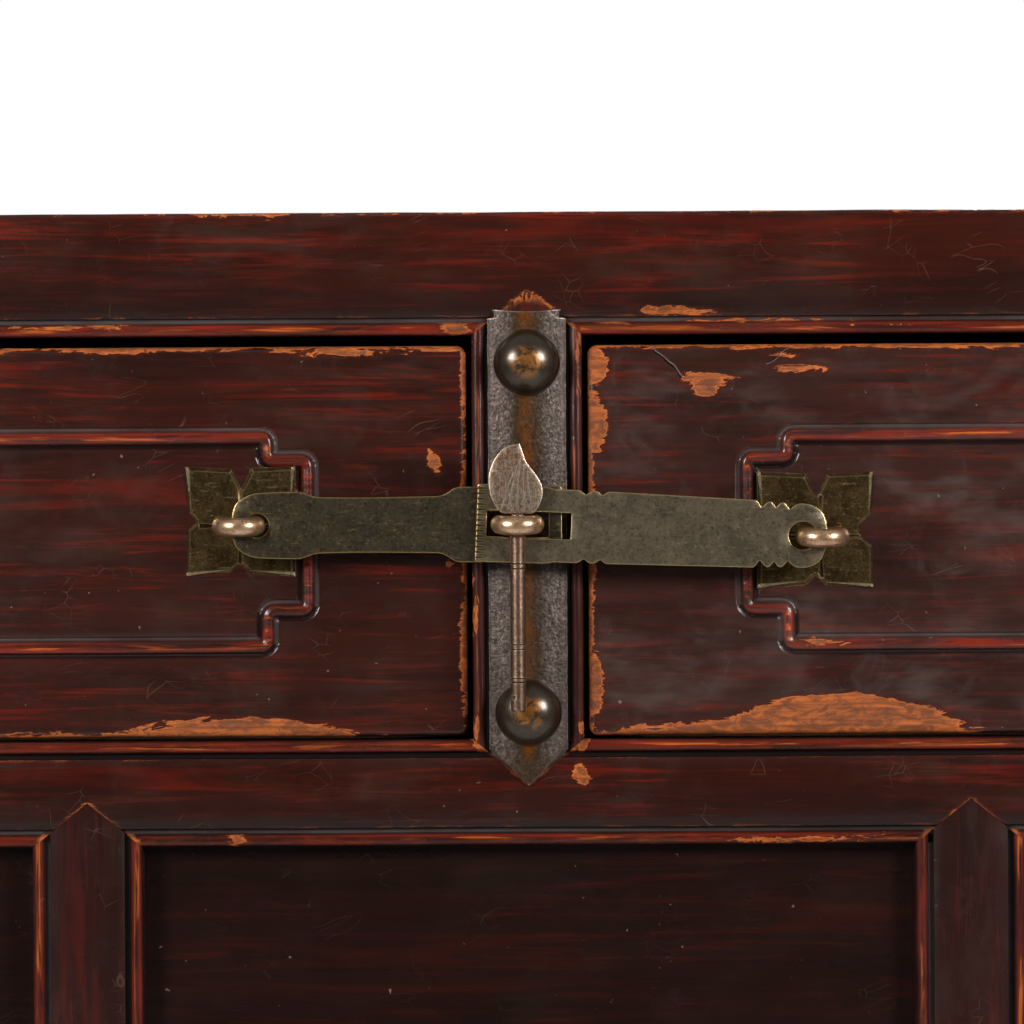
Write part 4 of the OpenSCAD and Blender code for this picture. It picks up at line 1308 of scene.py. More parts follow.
@dataclass
class Sheet:
    """A flat fitting cut from sheet metal, with chamfered edges and worked surface."""

    name: str
    outline: Sequence[Point]
    thick: float
    chamfer: float
    middle_y: float
    at: Point
    holes: Sequence[Sequence[Point]] = ()
    turn: float = 0.0
    flip: bool = False
    steps: int = 1
    dents: float = 0.06 * MM
    cell: float = 3.52 * MM

    def flat(self) -> bpy.types.Mesh:
        """Makes the sheet lying flat.

        Returns:
            Its mesh, with outline, holes and chamfer.
        """
        data = bpy.data.curves.new(self.name, "CURVE")
        data.dimensions = "2D"
        data.fill_mode = "BOTH"
        for path in [self.outline, *self.holes]:
            spline = data.splines.new("POLY")
            spline.points.add(len(path) - 1)
            for point, (u, v) in zip(spline.points, path):
                point.co = (u, v, 0, 1)
            spline.use_cyclic_u = True
        data.bevel_depth = self.chamfer
        data.bevel_resolution = self.steps
        data.offset = -self.chamfer
        data.extrude = self.thick / 2 - self.chamfer
        thing = placed(bpy.data.objects.new(self.name, data))
        mesh = settled(thing)
        bpy.data.objects.remove(thing)
        return mesh

    def build(self, body: str, cutters: Iterable[bpy.types.Object] = ()) -> bpy.types.Object:
        """Makes the fitting.

        Args:
            body: CAD body that it rides on.
            cutters: Solids to take away, in the frame's axes.

        Returns:
            The finished object.
        """
        made = bmesh.new()
        made.from_mesh(self.flat())
        bmesh.ops.remove_doubles(made, verts=made.verts, dist=WELD)
        for _ in range(4):
            long = [e for e in made.edges if e.calc_length() > self.cell]
            if not long:
                break
            bmesh.ops.subdivide_edges(made, edges=long, cuts=1)
            bmesh.ops.triangulate(made, faces=[f for f in made.faces if len(f.verts) > 4])
        cos, sin = math.cos(self.turn), math.sin(self.turn)
        for v in made.verts:
            u = -v.co.x if self.flip else v.co.x
            bend = wander((v.co.x, v.co.y, self.at[0]), 90, self.dents)
            bend += wander((v.co.x, v.co.y, 2), 25, self.dents)
            v.co = (self.at[0] + u * cos - v.co.y * sin, self.middle_y - v.co.z + bend,
                    self.at[1] + u * sin + v.co.y * cos)
        bmesh.ops.recalc_face_normals(made, faces=made.faces)
        shaped = bpy.data.meshes.new(self.name)
        made.to_mesh(shaped)
        made.free()
        return carve(placed(bpy.data.objects.new(self.name, shaped), body), cutters)


@dataclass
class Hasps:
    """The two hasps that cross over the stile."""

    ring_left: Point
    ring_right: Point
    staple_x: float
    thick: float = 1.8 * MM
    left_y: float = -0.2116
    right_y: float = -0.2138
    slot_half: float = 4.3
    stroke_end: float = 113.9 * MM
    stroke_run: float = 6.2 * MM
    stroke_pitch: float = 1.75 * MM
    strokes: int = 14

    def strap(self, side: str, upper: Sequence[Corner], slot: Corner, eye: Corner,
              chamfer: float) -> Sheet:
        """A hasp from the upper half of its outline, which its lower half repeats.

        Args:
            side: Left or right.
            upper: Upper edge from the ring to the end, in millimetres.
            slot: Start, end and corner radius of the slot for the staple.
            eye: Middle and radius of the ring's hole.
            chamfer: Width of the chamfer.

        Returns:
            The sheet, ready to be built.
        """
        start, end, radius = slot
        low, high = -self.slot_half, self.slot_half
        corners = ((start, low), (end, low), (end, high), (start, high))
        slot_path = softened([(x, z, radius) for x, z in corners])
        hole = [(x * MM, z * MM) for x, z in ring(eye[:2], eye[2], 48)]
        outline = softened(list(upper) + [(x, -z, r) for x, z, r in reversed(upper)])
        return Sheet(f"hasp_{side}_strap", outline, self.thick, chamfer, getattr(self, f"{side}_y"),
                     getattr(self, f"ring_{side}"), [hole, slot_path])

    def left(self) -> bpy.types.Object:
        """Under hasp: a round eye, a narrow strap and a flared slotted end."""
        upper = [(-2.3, 3.0, 3), (-1.2, 7.4, 4), (4.0, 10.6, 6), (12.0, 11.0, 6), (20.6, 11.1, 3),
                 (24.6, 9.3, 3.5), (40.0, 9.0, 8), (67.0, 9.4, 3.5), (71.0, 12.4, 2.2), (106.0, 12.5, 1.2)]
        return self.strap("left", upper, (81.2, 101.6, 0.6), (5.9, 0.0, 3.9), 0.28 * MM).build("hasp_left")

    def right(self) -> bpy.types.Object:
        """Upper hasp: a round eye, teeth, a tapering strap with nicks and a filed slotted end.

        Returns:
            The finished object.
        """
        upper = [(-1.4, 3.4, 4), (0.6, 8.6, 4), (5.0, 10.6, 4), (9.0, 10.5, 3), (11.2, 8.4, 0.3),
                 (13.0, 10.7, 1.2), (14.4, 10.5, 1.2), (15.6, 8.9, 0.3), (17.4, 10.9, 1.0), (18.6, 10.6, 1.0),
                 (20.4, 8.7, 0.3), (22.2, 11.1, 0.6), (70.8, 11.9, 0.8), (72.6, 10.6, 0.3), (74.4, 11.9, 1.4),
                 (76.2, 11.9, 1.4), (78.0, 10.6, 0.3), (80.2, 12.0, 0.8), (88.0, 12.0, 0.6),
                 (90.6, 12.6, 1.0), (113.6, 12.8, 0.8)]
        sheet = self.strap("right", upper, (82.6, 110.2, 0.5), (6.6, 0.0, 4.6), 0.3 * MM)
        sheet.turn = -math.atan2(self.ring_left[1] - self.ring_right[1], self.ring_right[0] - self.staple_x)
        sheet.flip = True
        return sheet.build("hasp_right", [self.file_cuts(sheet.turn)])

    def file_cuts(self, turn: float) -> bpy.types.Object:
        """Cutter for the row of level file strokes at the upper hasp's end.

        Args:
            turn: Tilt of the hasp.

        Returns:
            The cutting solid.
        """
        skin = Skin("file_cuts")
        face, end = self.right_y - self.thick / 2, self.stroke_end
        cos, sin = math.cos(turn), math.sin(turn)
        notch = ((-0.95 * MM, -0.5 * MM), (0.95 * MM, -0.5 * MM), (0.0, 0.75 * MM))
        for i in range(self.strokes):
            v = (i - (self.strokes - 1) / 2) * self.stroke_pitch
            rows = []
            for u, lift in ((end + MM, 0.0), (end - self.stroke_run, 0.9 * MM)):
                rows.append([(self.ring_right[0] - u * cos - (v + across) * sin, face + deep - lift,
                              self.ring_right[1] - u * sin + (v + across) * cos) for across, deep in notch])
            skin.tube(rows)
        return skin.piece()


@dataclass
class Calyx:
    """Notched square plate under a ring, with broad chamfers and a groove from each notch."""

    side: str
    at: Point
    across: float
    up: float
    scale: float
    thick: float = 3.0 * MM
    proud: float = 1.75 * MM
    lobes: Sequence[Corner] = (
        (18.2, -18.2, 0.3), (18.2, -4.6, 0.5), (14.4, -1.6, 1.0), (14.4, 1.2, 1.0), (18.0, 4.4, 0.5),
        (18.2, 18.2, 0.3), (3.6, 17.6, 0.6), (0.4, 11.2, 0.6), (-2.6, 17.4, 0.6), (-18.2, 18.2, 0.3),
        (-17.6, 2.6, 0.6), (-15.0, 0.2, 0.8), (-18.0, -2.4, 0.6), (-18.2, -18.2, 0.3), (-2.8, -17.2, 0.8),
        (0.0, -14.4, 0.8), (3.0, -17.6, 0.8))

    def build(self) -> bpy.types.Object:
        """Makes the plate.

        Returns:
            The finished object.
        """
        lobes = [(x * self.scale + self.across, z * self.scale + self.up, r) for x, z, r in self.lobes]
        sheet = Sheet(f"hasp_plate_{self.side}_calyx", softened(lobes, 4), self.thick, 1.35 * MM,
                      DRAWER_Y - self.proud + self.thick / 2, self.at, steps=0, dents=0.09 * MM)
        return sheet.build(f"drawer_{self.side}", [self.groove(turn) for turn in (0, 90, 180, 270)])

    def groove(self, turn: float) -> bpy.types.Object:
        """Cutter for the groove that runs from one notch to the ring.

        Args:
            turn: Way to the notch.

        Returns:
            The cutting solid.
        """
        cos, sin = math.cos(math.radians(turn)), math.sin(math.radians(turn))
        (x, z), face = self.at, DRAWER_Y - self.proud
        rows = []
        for u, half, deep in ((3 * MM, 0.25 * MM, 0.12 * MM), (13.5 * MM, 0.9 * MM, 0.9 * MM)):
            section = ((-half, -1 * MM), (half, -1 * MM), (half, 0.0), (0.0, deep), (-half, 0.0))
            rows.append([(x + u * cos - across * sin, face + down, z + u * sin + across * cos)
                         for across, down in section])
        return Skin("groove").tube(rows).piece()


@dataclass
class WireRing:
    """A level ring of round wire through a drawer's plate, or the longer eye of the lock."""

    node: str
    body: str
    centre: Spot
    run: float = 0.0
    ring_r: float = 5.9 * MM
    wire_r: float = 3.1 * MM
    neck_r: float = 2 * MM
    neck: float = 12 * MM
    droop: float = 0.5 * MM
    sections: int = 64
    sides: int = 28

    def build(self) -> bpy.types.Object:
        """Makes the ring with its short neck into the wood.

        Returns:
            The finished object.
        """
        rows = []
        x, y, z = self.centre
        for out_x, out_y in ring((0, 0), 1.0, self.sections):
            out = Vector((out_x, out_y, 0))
            shift = -self.run if out.y < 0 else 0.0
            swell = 1 + wander((out.x, out.y, x), 1.3, 0.05)
            down = self.droop * max(0.0, -out.y)
            row = []
            for cos, sin in ring((0, 0), 1.0, self.sides):
                flat = 1.0 - 0.06 * max(0.0, cos) ** 4
                spot = out * (self.ring_r + self.wire_r * swell * flat * cos)
                row.append((x + spot.x, y + spot.y + shift, z - down + self.wire_r * swell * sin))
            rows.append(row)
        skin = Skin(f"{self.node}_wire").grid(rows + [rows[0]], True)
        start = y + self.ring_r - 1 * MM
        neck = ring((x, z), self.neck_r, 16)
        skin.tube([[(u, deep, v) for u, v in neck] for deep in (start, start + self.neck)])
        return skin.piece(self.body, 50)


@dataclass
class Boss:
    """Domed nail head over the stile's plate."""

    node: str
    radius: float = 11 * MM
    high: float = 9 * MM
    skirt: float = 3.2 * MM
    levels: int = 30
    sides: int = 72

    def build(self) -> bpy.types.Object:
        """Makes the dome, a little uneven from the hammer.

        Returns:
            The finished object.
        """
        low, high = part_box(self.node)
        middle = ((low.x + high.x) / 2, (low.z + high.z) / 2)
        base = low.y + self.high
        turns = [math.radians(90) * i / (self.levels - 1) for i in range(self.levels)]
        rows = []
        for turn in turns:
            up = self.high * math.cos(turn) ** 1.06
            row = []
            for x, z in ring(middle, self.radius * math.sin(turn) ** 0.94, self.sides):
                spot = (x, base - up, z)
                push = wander(spot, 150, 0.12 * MM) - wander(spot, 60, 0.15 * MM)
                row.append((x, base - up + abs(push) * 0.7, z))
            rows.append(row)
        rows.append([(p[0], base + self.skirt, p[2]) for p in rows[-1]])
        skin = Skin(f"{self.node}_dome").grid(rows, True)
        skin.mark("crown", [math.cos(turn) for turn in turns for _ in range(self.sides)])
        return skin.cap(len(skin.points) - self.sides, self.sides).piece("frame", 60)


@dataclass
class StilePlate:
    """Long plate bent over the stile's crown, notched at the head and pointed at the foot."""

    half: float = 13 * MM
    head_half: float = 10.5 * MM
    tip_half: float = 0.35 * MM
    thick: float = 1.2 * MM
    bend_r: float = 41.45 * MM
    foot: float = 12 * MM
    head: float = 2.9 * MM
    edge: float = 0.4 * MM
    columns: int = 26

    def half_width(self, z: float, low: float, high: float) -> float:
        """Half the plate's width at a height.

        Args:
            z: The height.
            low: The plate's foot.
            high: The plate's top.

        Returns:
            Half the width.
        """
        if z < low + self.foot:
            return self.tip_half + (self.half - self.tip_half) * (z - low) / self.foot
        if high - z < self.head:
            return self.head_half + 0.9 * MM * (1 - (high - z) / self.head) ** 2
        return self.half + wander((0, 0, z), 90, 0.28 * MM) - 0.1 * MM

    def build(self) -> bpy.types.Object:
        """Makes the plate as a closed shell.

        Returns:
            The finished object.
        """
        low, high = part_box("stile_plate")
        heights = list(np.arange(low.z, high.z - 3.0 * MM, 1.0 * MM))
        heights += [high.z - down * MM for down in (2.95, 2.88, 2, 1, 0)]
        outer = self.bend_r + self.thick
        rows = []
        for z in heights:
            half = self.half_width(z, low.z, high.z)
            front, back = [], []
            for i in range(self.columns + 1):
                x = half * (2 * i / self.columns - 1)
                turned = max(0.0, self.edge - (half - abs(x))) ** 2
                arc = outer - math.sqrt(outer ** 2 - x * x)
                head = 0.75 * MM * (1 - (x / half) ** 2) * max(0.0, 1 - (high.z - z) / (3 * MM))
                work = wander((x, 0, z), 260, 0.07 * MM) + wander((x, 1, z), 70, 0.12 * MM)
                y = low.y + arc + turned / self.edge + abs(work)
                front.append((x, y, z - head))
                back.append((x, y + self.thick - 2 * turned, z - head))
            rows.append(front + back[::-1])
        return Skin("stile_plate_sheet").tube(rows).piece("frame", 40)


@dataclass
class LockPin:
    """Sliding pin with a leaf-shaped head, incised rings and a small cross hole."""

    x: float
    y: float = -0.2177
    head_z: float = 0.7501
    leaf_up: float = 8.4 * MM
    leaf_t: float = 2.4 * MM
    length: float = 64.8
    radius: float = 2.6 * MM
    sides: int = 32
    veins: int = 5
    hole_r: float = 0.75 * MM
    rings: Sequence[Point] = (
        (16.3, 0.35), (17.9, 0.35), (42.8, 0.35), (44.4, 0.35), (53.6, 0.4), (55.0, 0.4))
    outline: Sequence[Corner] = (
        (-5.0, -8.4, 1.0), (-7.4, -6.0, 2.5), (-9.3, -1.6, 4), (-9.5, 4.4, 4), (-8.0, 9.0, 3.5),
        (-5.2, 12.6, 3), (-2.2, 14.2, 2), (0.9, 14.6, 0.5), (1.7, 12.4, 1.5), (2.6, 9.0, 3),
        (6.0, 4.6, 4), (8.1, 1.2, 3), (8.4, -2.4, 3), (7.4, -5.6, 2.5), (5.4, -8.4, 1.0))

    def leaf(self) -> bpy.types.Object:
        """The head: a round leaf that runs up to a tip bent to one side, with engraved veins."""
        sheet = Sheet("lock_pin_leaf", softened(self.outline, 7), self.leaf_t, 0.45 * MM, self.y,
                      (self.x, self.head_z + self.leaf_up), dents=0.08 * MM)
        return sheet.build("lock_pin", [self.vein(i) for i in range(self.veins)])

    def vein(self, i: int) -> bpy.types.Object:
        """Cutter for one curved engraved line on the leaf's face.

        Args:
            i: Number of the line.

        Returns:
            The cutting solid.
        """
        rows = []
        lean = -5.2 + 2.5 * i
        for s in range(10):
            t = s / 9
            u = (lean * (1 - 0.55 * t) + 1.2 * t * t) * MM
            v = (-6.6 + (16.5 - abs(lean) * 0.9) * t) * MM
            half = 0.16 * MM * (1 - 0.7 * t)
            rows.append([(self.x + u + a, self.y - self.leaf_t / 2 + d, self.head_z + self.leaf_up + v)
                         for a, d in ((-half, -0.5 * MM), (half, -0.5 * MM), (0.0, 0.16 * MM))])
        return Skin("vein").tube(rows).piece()

    def shaft(self) -> bpy.types.Object:
        """The round pin with its incised rings and its cross hole.

        Returns:
            The finished object.
        """
        ends = (0.0, self.length)
        stations = sorted({*ends, 0.6, self.length - 0.7} | set(np.arange(1, 64, 1.5)) |
                          {at + d for at, _ in self.rings for d in (-0.35, 0.0, 0.35)})
        rows = []
        for down in stations:
            r = self.radius - 0.08 * MM + wander((down, 0, 0), 0.1, 0.1 * MM)
            r -= sum(deep * MM for at, deep in self.rings if abs(down - at) < 0.1)
            r -= 0.5 * MM if down in ends else 0.0
            rows.append([(x, y, self.head_z - down * MM) for x, y in ring((self.x, self.y), r, self.sides)])
        shaft = Skin("lock_pin_shaft").tube(rows).piece("lock_pin", 40)
        middle = (self.x - 1.6 * MM, self.head_z - 60 * MM)
        hole = [[(x, self.y + d, z) for x, z in ring(middle, self.hole_r, 16)] for d in (-4 * MM, 4 * MM)]
        return carve(shaft, [Skin("cross_hole").tube(hole).piece()])


@dataclass
class Carving:
    """Low scrolls on the brackets and the pendant of one apron."""

    side: Side
    half: float
    face: float = 8 * MM
    thick: float = 1.5
    thin: float = 0.5
    rise: float = 0.7
    steps: int = 30

    def curl(self, x: float, z: float, wide: float, tight: float, start: float, turn: float) -> list[Point]:
        """Points of a curl that winds in.

        Args:
            x: Distance of its eye from the leg, in millimetres.
            z: Height of its eye above the apron's top.
            wide: Radius at its start.
            tight: Radius at its eye.
            start: Angle of its start in degrees.
            turn: How far it winds, in degrees, rising anticlockwise.

        Returns:
            The points, outermost first.
        """
        path = []
        for i in range(self.steps + 1):
            share = i / self.steps
            r = wide + (tight - wide) * share ** 0.8
            a = math.radians(start + turn * share)
            path.append((x + r * math.cos(a), z + r * math.sin(a)))
        return path

    def strokes(self) -> list[list[Point]]:
        """Draws the strokes of one half.

        Returns:
            Distances from the leg and heights above the apron's top, in millimetres.
        """
        m, curl = self.half / MM, self.curl
        return [[(7.5, -106.0), (7.2, -98.0), (6.6, -90.0)] + curl(12.6, -76.0, 8.0, 1.8, 215, -430),
                [(5.5, -72.0), (4.8, -64.0)] + curl(22.0, -43.0, 15.5, 2.4, 205, -560),
                curl(22.0, -43.0, 15.5, 15.5, 65, -8) + curl(51.0, -34.5, 10.5, 1.8, 150, -470),
                curl(51.0, -34.5, 10.5, 10.5, 75, -10) + curl(75.0, -31.0, 6.8, 1.4, 150, -440),
                [(80.0, -26.0), (92.0, -20.5), (106.0, -19.5), (120.0, -23.5), (132.0, -26.0)],
                [(36.0, -24.0), (44.0, -16.0), (58.0, -12.0), (74.0, -12.5), (90.0, -13.0)],
                [(9.0, -48.0), (8.0, -36.0), (10.0, -24.0), (18.0, -14.0), (30.0, -10.0)],
                [(m, -46.5)] + curl(m - 8.5, -36.0, 7.2, 1.6, 300, -440),
                [(m - 1.0, -26.0), (m - 12.0, -22.5), (m - 24.0, -25.0), (m - 36.0, -23.0), (m - 50.0, -19.5),
                 (m - 64.0, -21.0)],
                [(m - 18.0, -14.0), (m - 34.0, -12.5), (m - 52.0, -12.0)]]

    def sections(self, path: Sequence[Point], way: int) -> list[list[Spot]]:
        """Rings of points along one half-sunk stroke that thins towards its end.

        Args:
            path: Points from the leg, in millimetres.
            way: -1 for the left half, 1 for the right.

        Returns:
            The rings.
        """
        top = Layout.apron_top / MM
        rows = []
        for i, (u, v) in enumerate(path):
            ahead, behind = path[min(i + 1, len(path) - 1)], path[max(i - 1, 0)]
            run = Vector((ahead[0] - behind[0], ahead[1] - behind[1])).normalized()
            share = i / (len(path) - 1)
            size = self.thick + (self.thin - self.thick) * share
            size *= min(1.0, 0.3 + 3 * share, 0.5 + 4 * (1 - share))
            rows.append([self.side.place(way * (self.half / MM - (u - run.y * off)) * MM,
                                         (top + v + run.x * off) * MM, self.face - out * self.rise * MM)
                         for off, out in ring((0, 0), size, 10)])
        return rows

    def build(self) -> bpy.types.Object:
        """Makes the carving of both halves.

        Returns:
            The finished object.
        """
        skin = Skin(f"apron_{self.side.name.lower()}_carving")
        for way in (-1, 1):
            for path in self.strokes():
                skin.tube(self.sections(path, way))
        return skin.piece("frame", 60)


TOP_RUBBED = (
    Rubbed(-23.1, 811.5, 12.5, 4.6), Rubbed(47.2, 816.9, 21, 2.6, -0.02), Rubbed(72, 813.6, 62, 1.0),
    Rubbed(4.4, 821.0, 6.4, 2.8, -0.75), Rubbed(0, 850.2, 1300, 1.5), Rubbed(-91, 850, 40, 3.4),
    Rubbed(-150, 812.2, 26, 1.6), Rubbed(118, 811.8, 30, 1.6))
RAIL_RUBBED = (
    Rubbed(17.4, 663.6, 6.6, 8.8, -0.5), Rubbed(18.3, 674.2, 5.0, 6.0, 0.9),
    Rubbed(-17.2, 674.4, 4.4, 5.0, -0.9), Rubbed(-96.4, 642.4, 9, 3.6), Rubbed(89, 642.2, 44, 2.4),
    Rubbed(-142, 643, 16, 1.6))
STILE_RUBBED = (
    Rubbed(-17.4, 717, 2.6, 22), Rubbed(-17.2, 679, 2.8, 9), Rubbed(17.6, 678.5, 2.6, 7),
    Rubbed(16.9, 800, 1.6, 16))
LEFT_RUBBED = (
    Rubbed(-96, 676.4, 80, 13.5), Rubbed(-130, 676.6, 150, 4.6), Rubbed(-20.2, 706, 5.2, 44),
    Rubbed(-20.4, 795, 3.4, 40), Rubbed(-100, 806.2, 300, 4.4), Rubbed(-31, 768, 5.4, 7.4, -0.9),
    Rubbed(-56, 803.6, 30, 3.0), Rubbed(-26, 734, 1.8, 5), Rubbed(-20.5, 740, 2.4, 130),
    Rubbed(-77, 756, 2.2, 7))
RIGHT_RUBBED = (
    Rubbed(19.8, 741, 5.0, 150), Rubbed(21.0, 693, 8, 26), Rubbed(103, 676.2, 78, 29),
    Rubbed(86, 676.4, 132, 11), Rubbed(60, 794.2, 18.5, 5.2), Rubbed(59, 791.4, 9, 6.4),
    Rubbed(90.5, 797.6, 18, 2.4), Rubbed(22, 799, 10, 15), Rubbed(97, 707.4, 13.5, 2.8),
    Rubbed(120, 806.2, 320, 4.2), Rubbed(21.4, 780, 11, 20), Rubbed(84, 802.5, 9, 2.2))
RIGHT_STAINED = (Rubbed(62, 801, 34, 9), Rubbed(80, 803, 30, 5))
RIGHT_CRACKS = (Crack(41.7, 804.7, 51.4, 794.6, 0.34), Crack(86.5, 804.9, 79.0, 799.4, 0.22))

FINISHES = (
    Lacquer("rail_lacquer", Grain.ALONG_X, glow=0.6),
    Lacquer("top_lacquer", Grain.ALONG_X, ior=1.38, seed=1.0, rubbed=TOP_RUBBED),
    Lacquer("drawer_rail_lacquer", Grain.ALONG_X, dark=tone(44, 16, 10), red=tone(104, 24, 12),
            bead=tone(106, 29, 13), ior=1.35, seed=2.0, rubbed=RAIL_RUBBED),
    Lacquer("stile_lacquer", Grain.ALONG_Z, bead=tone(74, 40, 40), seed=5.0, rub=0.95, rubbed=STILE_RUBBED),
    Lacquer("carving_lacquer", Grain.ALONG_X, seed=8.0, rub=1.4, glow=0.5),
    Lacquer("left_drawer_lacquer", Grain.ALONG_X, dark=tone(46, 19, 13), streaks=0.58, seed=7.0, rub=0.42,
            rubbed=LEFT_RUBBED),
    Lacquer("right_drawer_lacquer", Grain.ALONG_X, dark=tone(50, 27, 22), seed=9.0, rub=0.4, dull=0.62,
            haze=tone(80, 66, 60), rubbed=RIGHT_RUBBED, stained=RIGHT_STAINED, cracks=RIGHT_CRACKS),
    Lacquer("panel_lacquer", Grain.ALONG_X, dark=tone(27, 12, 9), red=tone(58, 16, 9), dull=0.06, scored=0.05,
            ior=1.3, seed=4.0, rub=0.7),
    Lacquer("board_lacquer", Grain.ALONG_X, rough=0.44, dull=0.3, seed=11.0, rub=0.5),
    Lacquer("post_lacquer", Grain.ALONG_Z, dark=tone(40, 16, 13), red=tone(84, 24, 16),
            bead=tone(100, 32, 20), seed=6.0, rub=1.3),
    Lacquer("side_lacquer", Grain.ALONG_Y, seed=3.0, glow=0.6),
    Lacquer("upright_lacquer", Grain.ALONG_Z, seed=6.0, rub=0.6, glow=0.6),
    Timber("timber_along_x", Grain.ALONG_X, 4.0),
    Timber("timber_along_y", Grain.ALONG_Y, 5.0),
    Metal("hasp_bronze", tone(92, 82, 64), tone(60, 54, 42), tone(214, 180, 112), clouds=110),
    Metal("grey_bronze", tone(136, 122, 100), tone(84, 76, 60), tone(226, 196, 130), clouds=75, seed=2.0),
    Metal("plate_brass", tone(112, 90, 54), tone(66, 50, 27), tone(242, 218, 166), 0.32, clouds=150,
          mottle=0.95, scratch=0.4, seed=4.0),
    Metal("ring_copper", tone(226, 182, 140), tone(160, 116, 84), tone(250, 230, 204), 0.32, clouds=260,
          mottle=0.7, coat=1.0, coat_rough=0.2),
    Metal("pin_bronze", tone(142, 112, 92), tone(98, 74, 58), tone(214, 192, 166), 0.36),
    BossMetal("boss_bronze", tone(66, 50, 32), tone(40, 31, 21), tone(104, 82, 52), 0.32, metallic=0.7,
              coat=0.8, coat_rough=0.22),
    PlateMetal("plate_pewter", tone(98, 86, 79), tone(76, 66, 60), tone(156, 142, 134), 0.44, clouds=60,
               mottle=0.6, pits=900, pit_depth=0.16 * MM, scratch=0.15),
    LeafMetal("leaf_bronze", tone(162, 138, 114), tone(122, 98, 76), tone(232, 220, 204), 0.4, clouds=200,
              scratch=1.0, seed=3.0))


class Palette:
    """The table's finishes, each made when the first piece asks for it."""

    def __init__(self, recipes: Iterable[Union[Lacquer, Timber, Metal]]) -> None:
        """Keeps the recipes by their names."""
        self.recipes = {recipe.name: recipe for recipe in recipes}
        self.made: dict[str, bpy.types.Material] = {}

    def paint(self, piece: bpy.types.Object, finish: str) -> None:
        """Gives a piece its one material.

        Args:
            piece: The piece.
            finish: Name of its finish.
        """
        if finish not in self.made:
            self.made[finish] = self.recipes[finish].build()
        piece.data.materials.clear()
        piece.data.materials.append(self.made[finish])

    def dress(self, piece: bpy.types.Object, finish: str, slot: str, node: str = "") -> None:
        """Finishes a new piece and reports it.

        Args:
            piece: The piece.
            finish: Name of its finish.
            slot: Not used.
            node: CAD node that it stands for, or nothing for an added piece.
        """
        self.paint(piece, finish)
        if node:
            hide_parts(node)
        LOG.info("%s, %s, stands for %s", piece.name, finish, node or "itself")


@dataclass
class Front:
    """Rails, stile and posts of the front, and the fronts of the two drawers."""

    palette: Palette

    def members(self) -> list[tuple[Member, str]]:
        """Lists the front's members.

        Returns:
            Members with their finishes, in the order of making.
        """
        inner, post, stile = Layout.inner_x, Layout.post_x, Layout.stile_w
        rail_mid = Layout.open_bottom - Layout.drawer_rail_h / 2
        low_mid = Layout.frieze_bottom - Layout.lower_rail_h / 2
        posts = [(Bar(f"frieze_post_{side}_moulding", f"frieze_post_{side}", stile, Layout.frieze_bottom,
                      Layout.frieze_top, x, True), "post_lacquer")
                 for side, x in (("left", -post), ("right", post))]
        return [
            (TopRail(), "top_lacquer"),
            (Bar("drawer_rail_moulding", "drawer_rail", Layout.drawer_rail_h, -inner, inner, rail_mid,
                 notches=((0.0, 1), (-post, -1), (post, -1))), "drawer_rail_lacquer"),
            (Bar("lower_rail_moulding", "lower_rail", Layout.lower_rail_h, -inner, inner, low_mid,
                 notches=((-post, 1), (post, 1))), "rail_lacquer"),
            (Bar("center_stile_moulding", "center_stile", stile, Layout.open_bottom, Layout.open_top, 0.0,
                 True), "stile_lacquer"), *posts]

    def build(self) -> None:
        """Makes and dresses the members and the drawer fronts."""
        for member, finish in self.members():
            self.palette.dress(member.build(), finish, "lacquer", member.node)
        for face in (DrawerFace("left", -1, LEFT_RUBBED), DrawerFace("right", 1, RIGHT_RUBBED)):
            self.palette.dress(face.build(), f"{face.side}_drawer_lacquer", "lacquer", face.node)


@dataclass
class Lock:
    """Hasps, their plates and rings, and the staple, bosses, plate and pin on the stile."""

    palette: Palette
    ring_left: Point = (-94.7 * MM, 746.7 * MM)
    ring_right: Point = (96.7 * MM, 742.1 * MM)
    staple: Point = (-3.3 * MM, 746.7 * MM)
    staple_r: float = 9 * MM
    plate_t: float = 1.25 * MM

    def build(self) -> None:
        """Makes and dresses every fitting of the lock."""
        dress = self.palette.dress
        hasps = Hasps(self.ring_left, self.ring_right, self.staple[0])
        dress(hasps.left(), "hasp_bronze", "bronze", "hasp_left")
        dress(hasps.right(), "grey_bronze", "bronze", "hasp_right")
        for calyx in (Calyx("left", self.ring_left, 0.0, 1.4, 1.0),
                      Calyx("right", self.ring_right, -1.8, 2.2, 1.06)):
            dress(calyx.build(), "plate_brass", "brass", f"hasp_plate_{calyx.side}")
        back = Layout.front_y - self.plate_t - self.staple_r
        run = back - (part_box("lock_staple")[0].y + self.staple_r)
        (left_x, left_z), (right_x, right_z), (x, z) = self.ring_left, self.ring_right, self.staple
        for wire in (WireRing("ring_left", "drawer_left", (left_x, hasps.left_y, left_z)),
                     WireRing("ring_right", "drawer_right", (right_x, hasps.right_y, right_z)),
                     WireRing("lock_staple", "frame", (x, back, z), run)):
            dress(wire.build(), "ring_copper", "copper", wire.node)
        for node in ("boss_upper", "boss_lower"):
            dress(Boss(node).build(), "boss_bronze", "bronze", node)
        dress(StilePlate().build(), "plate_pewter", "pewter", "stile_plate")
        pin = LockPin(self.staple[0])
        dress(pin.leaf(), "leaf_bronze", "bronze", "lock_pin")
        dress(pin.shaft(), "pin_bronze", "bronze", "lock_pin")


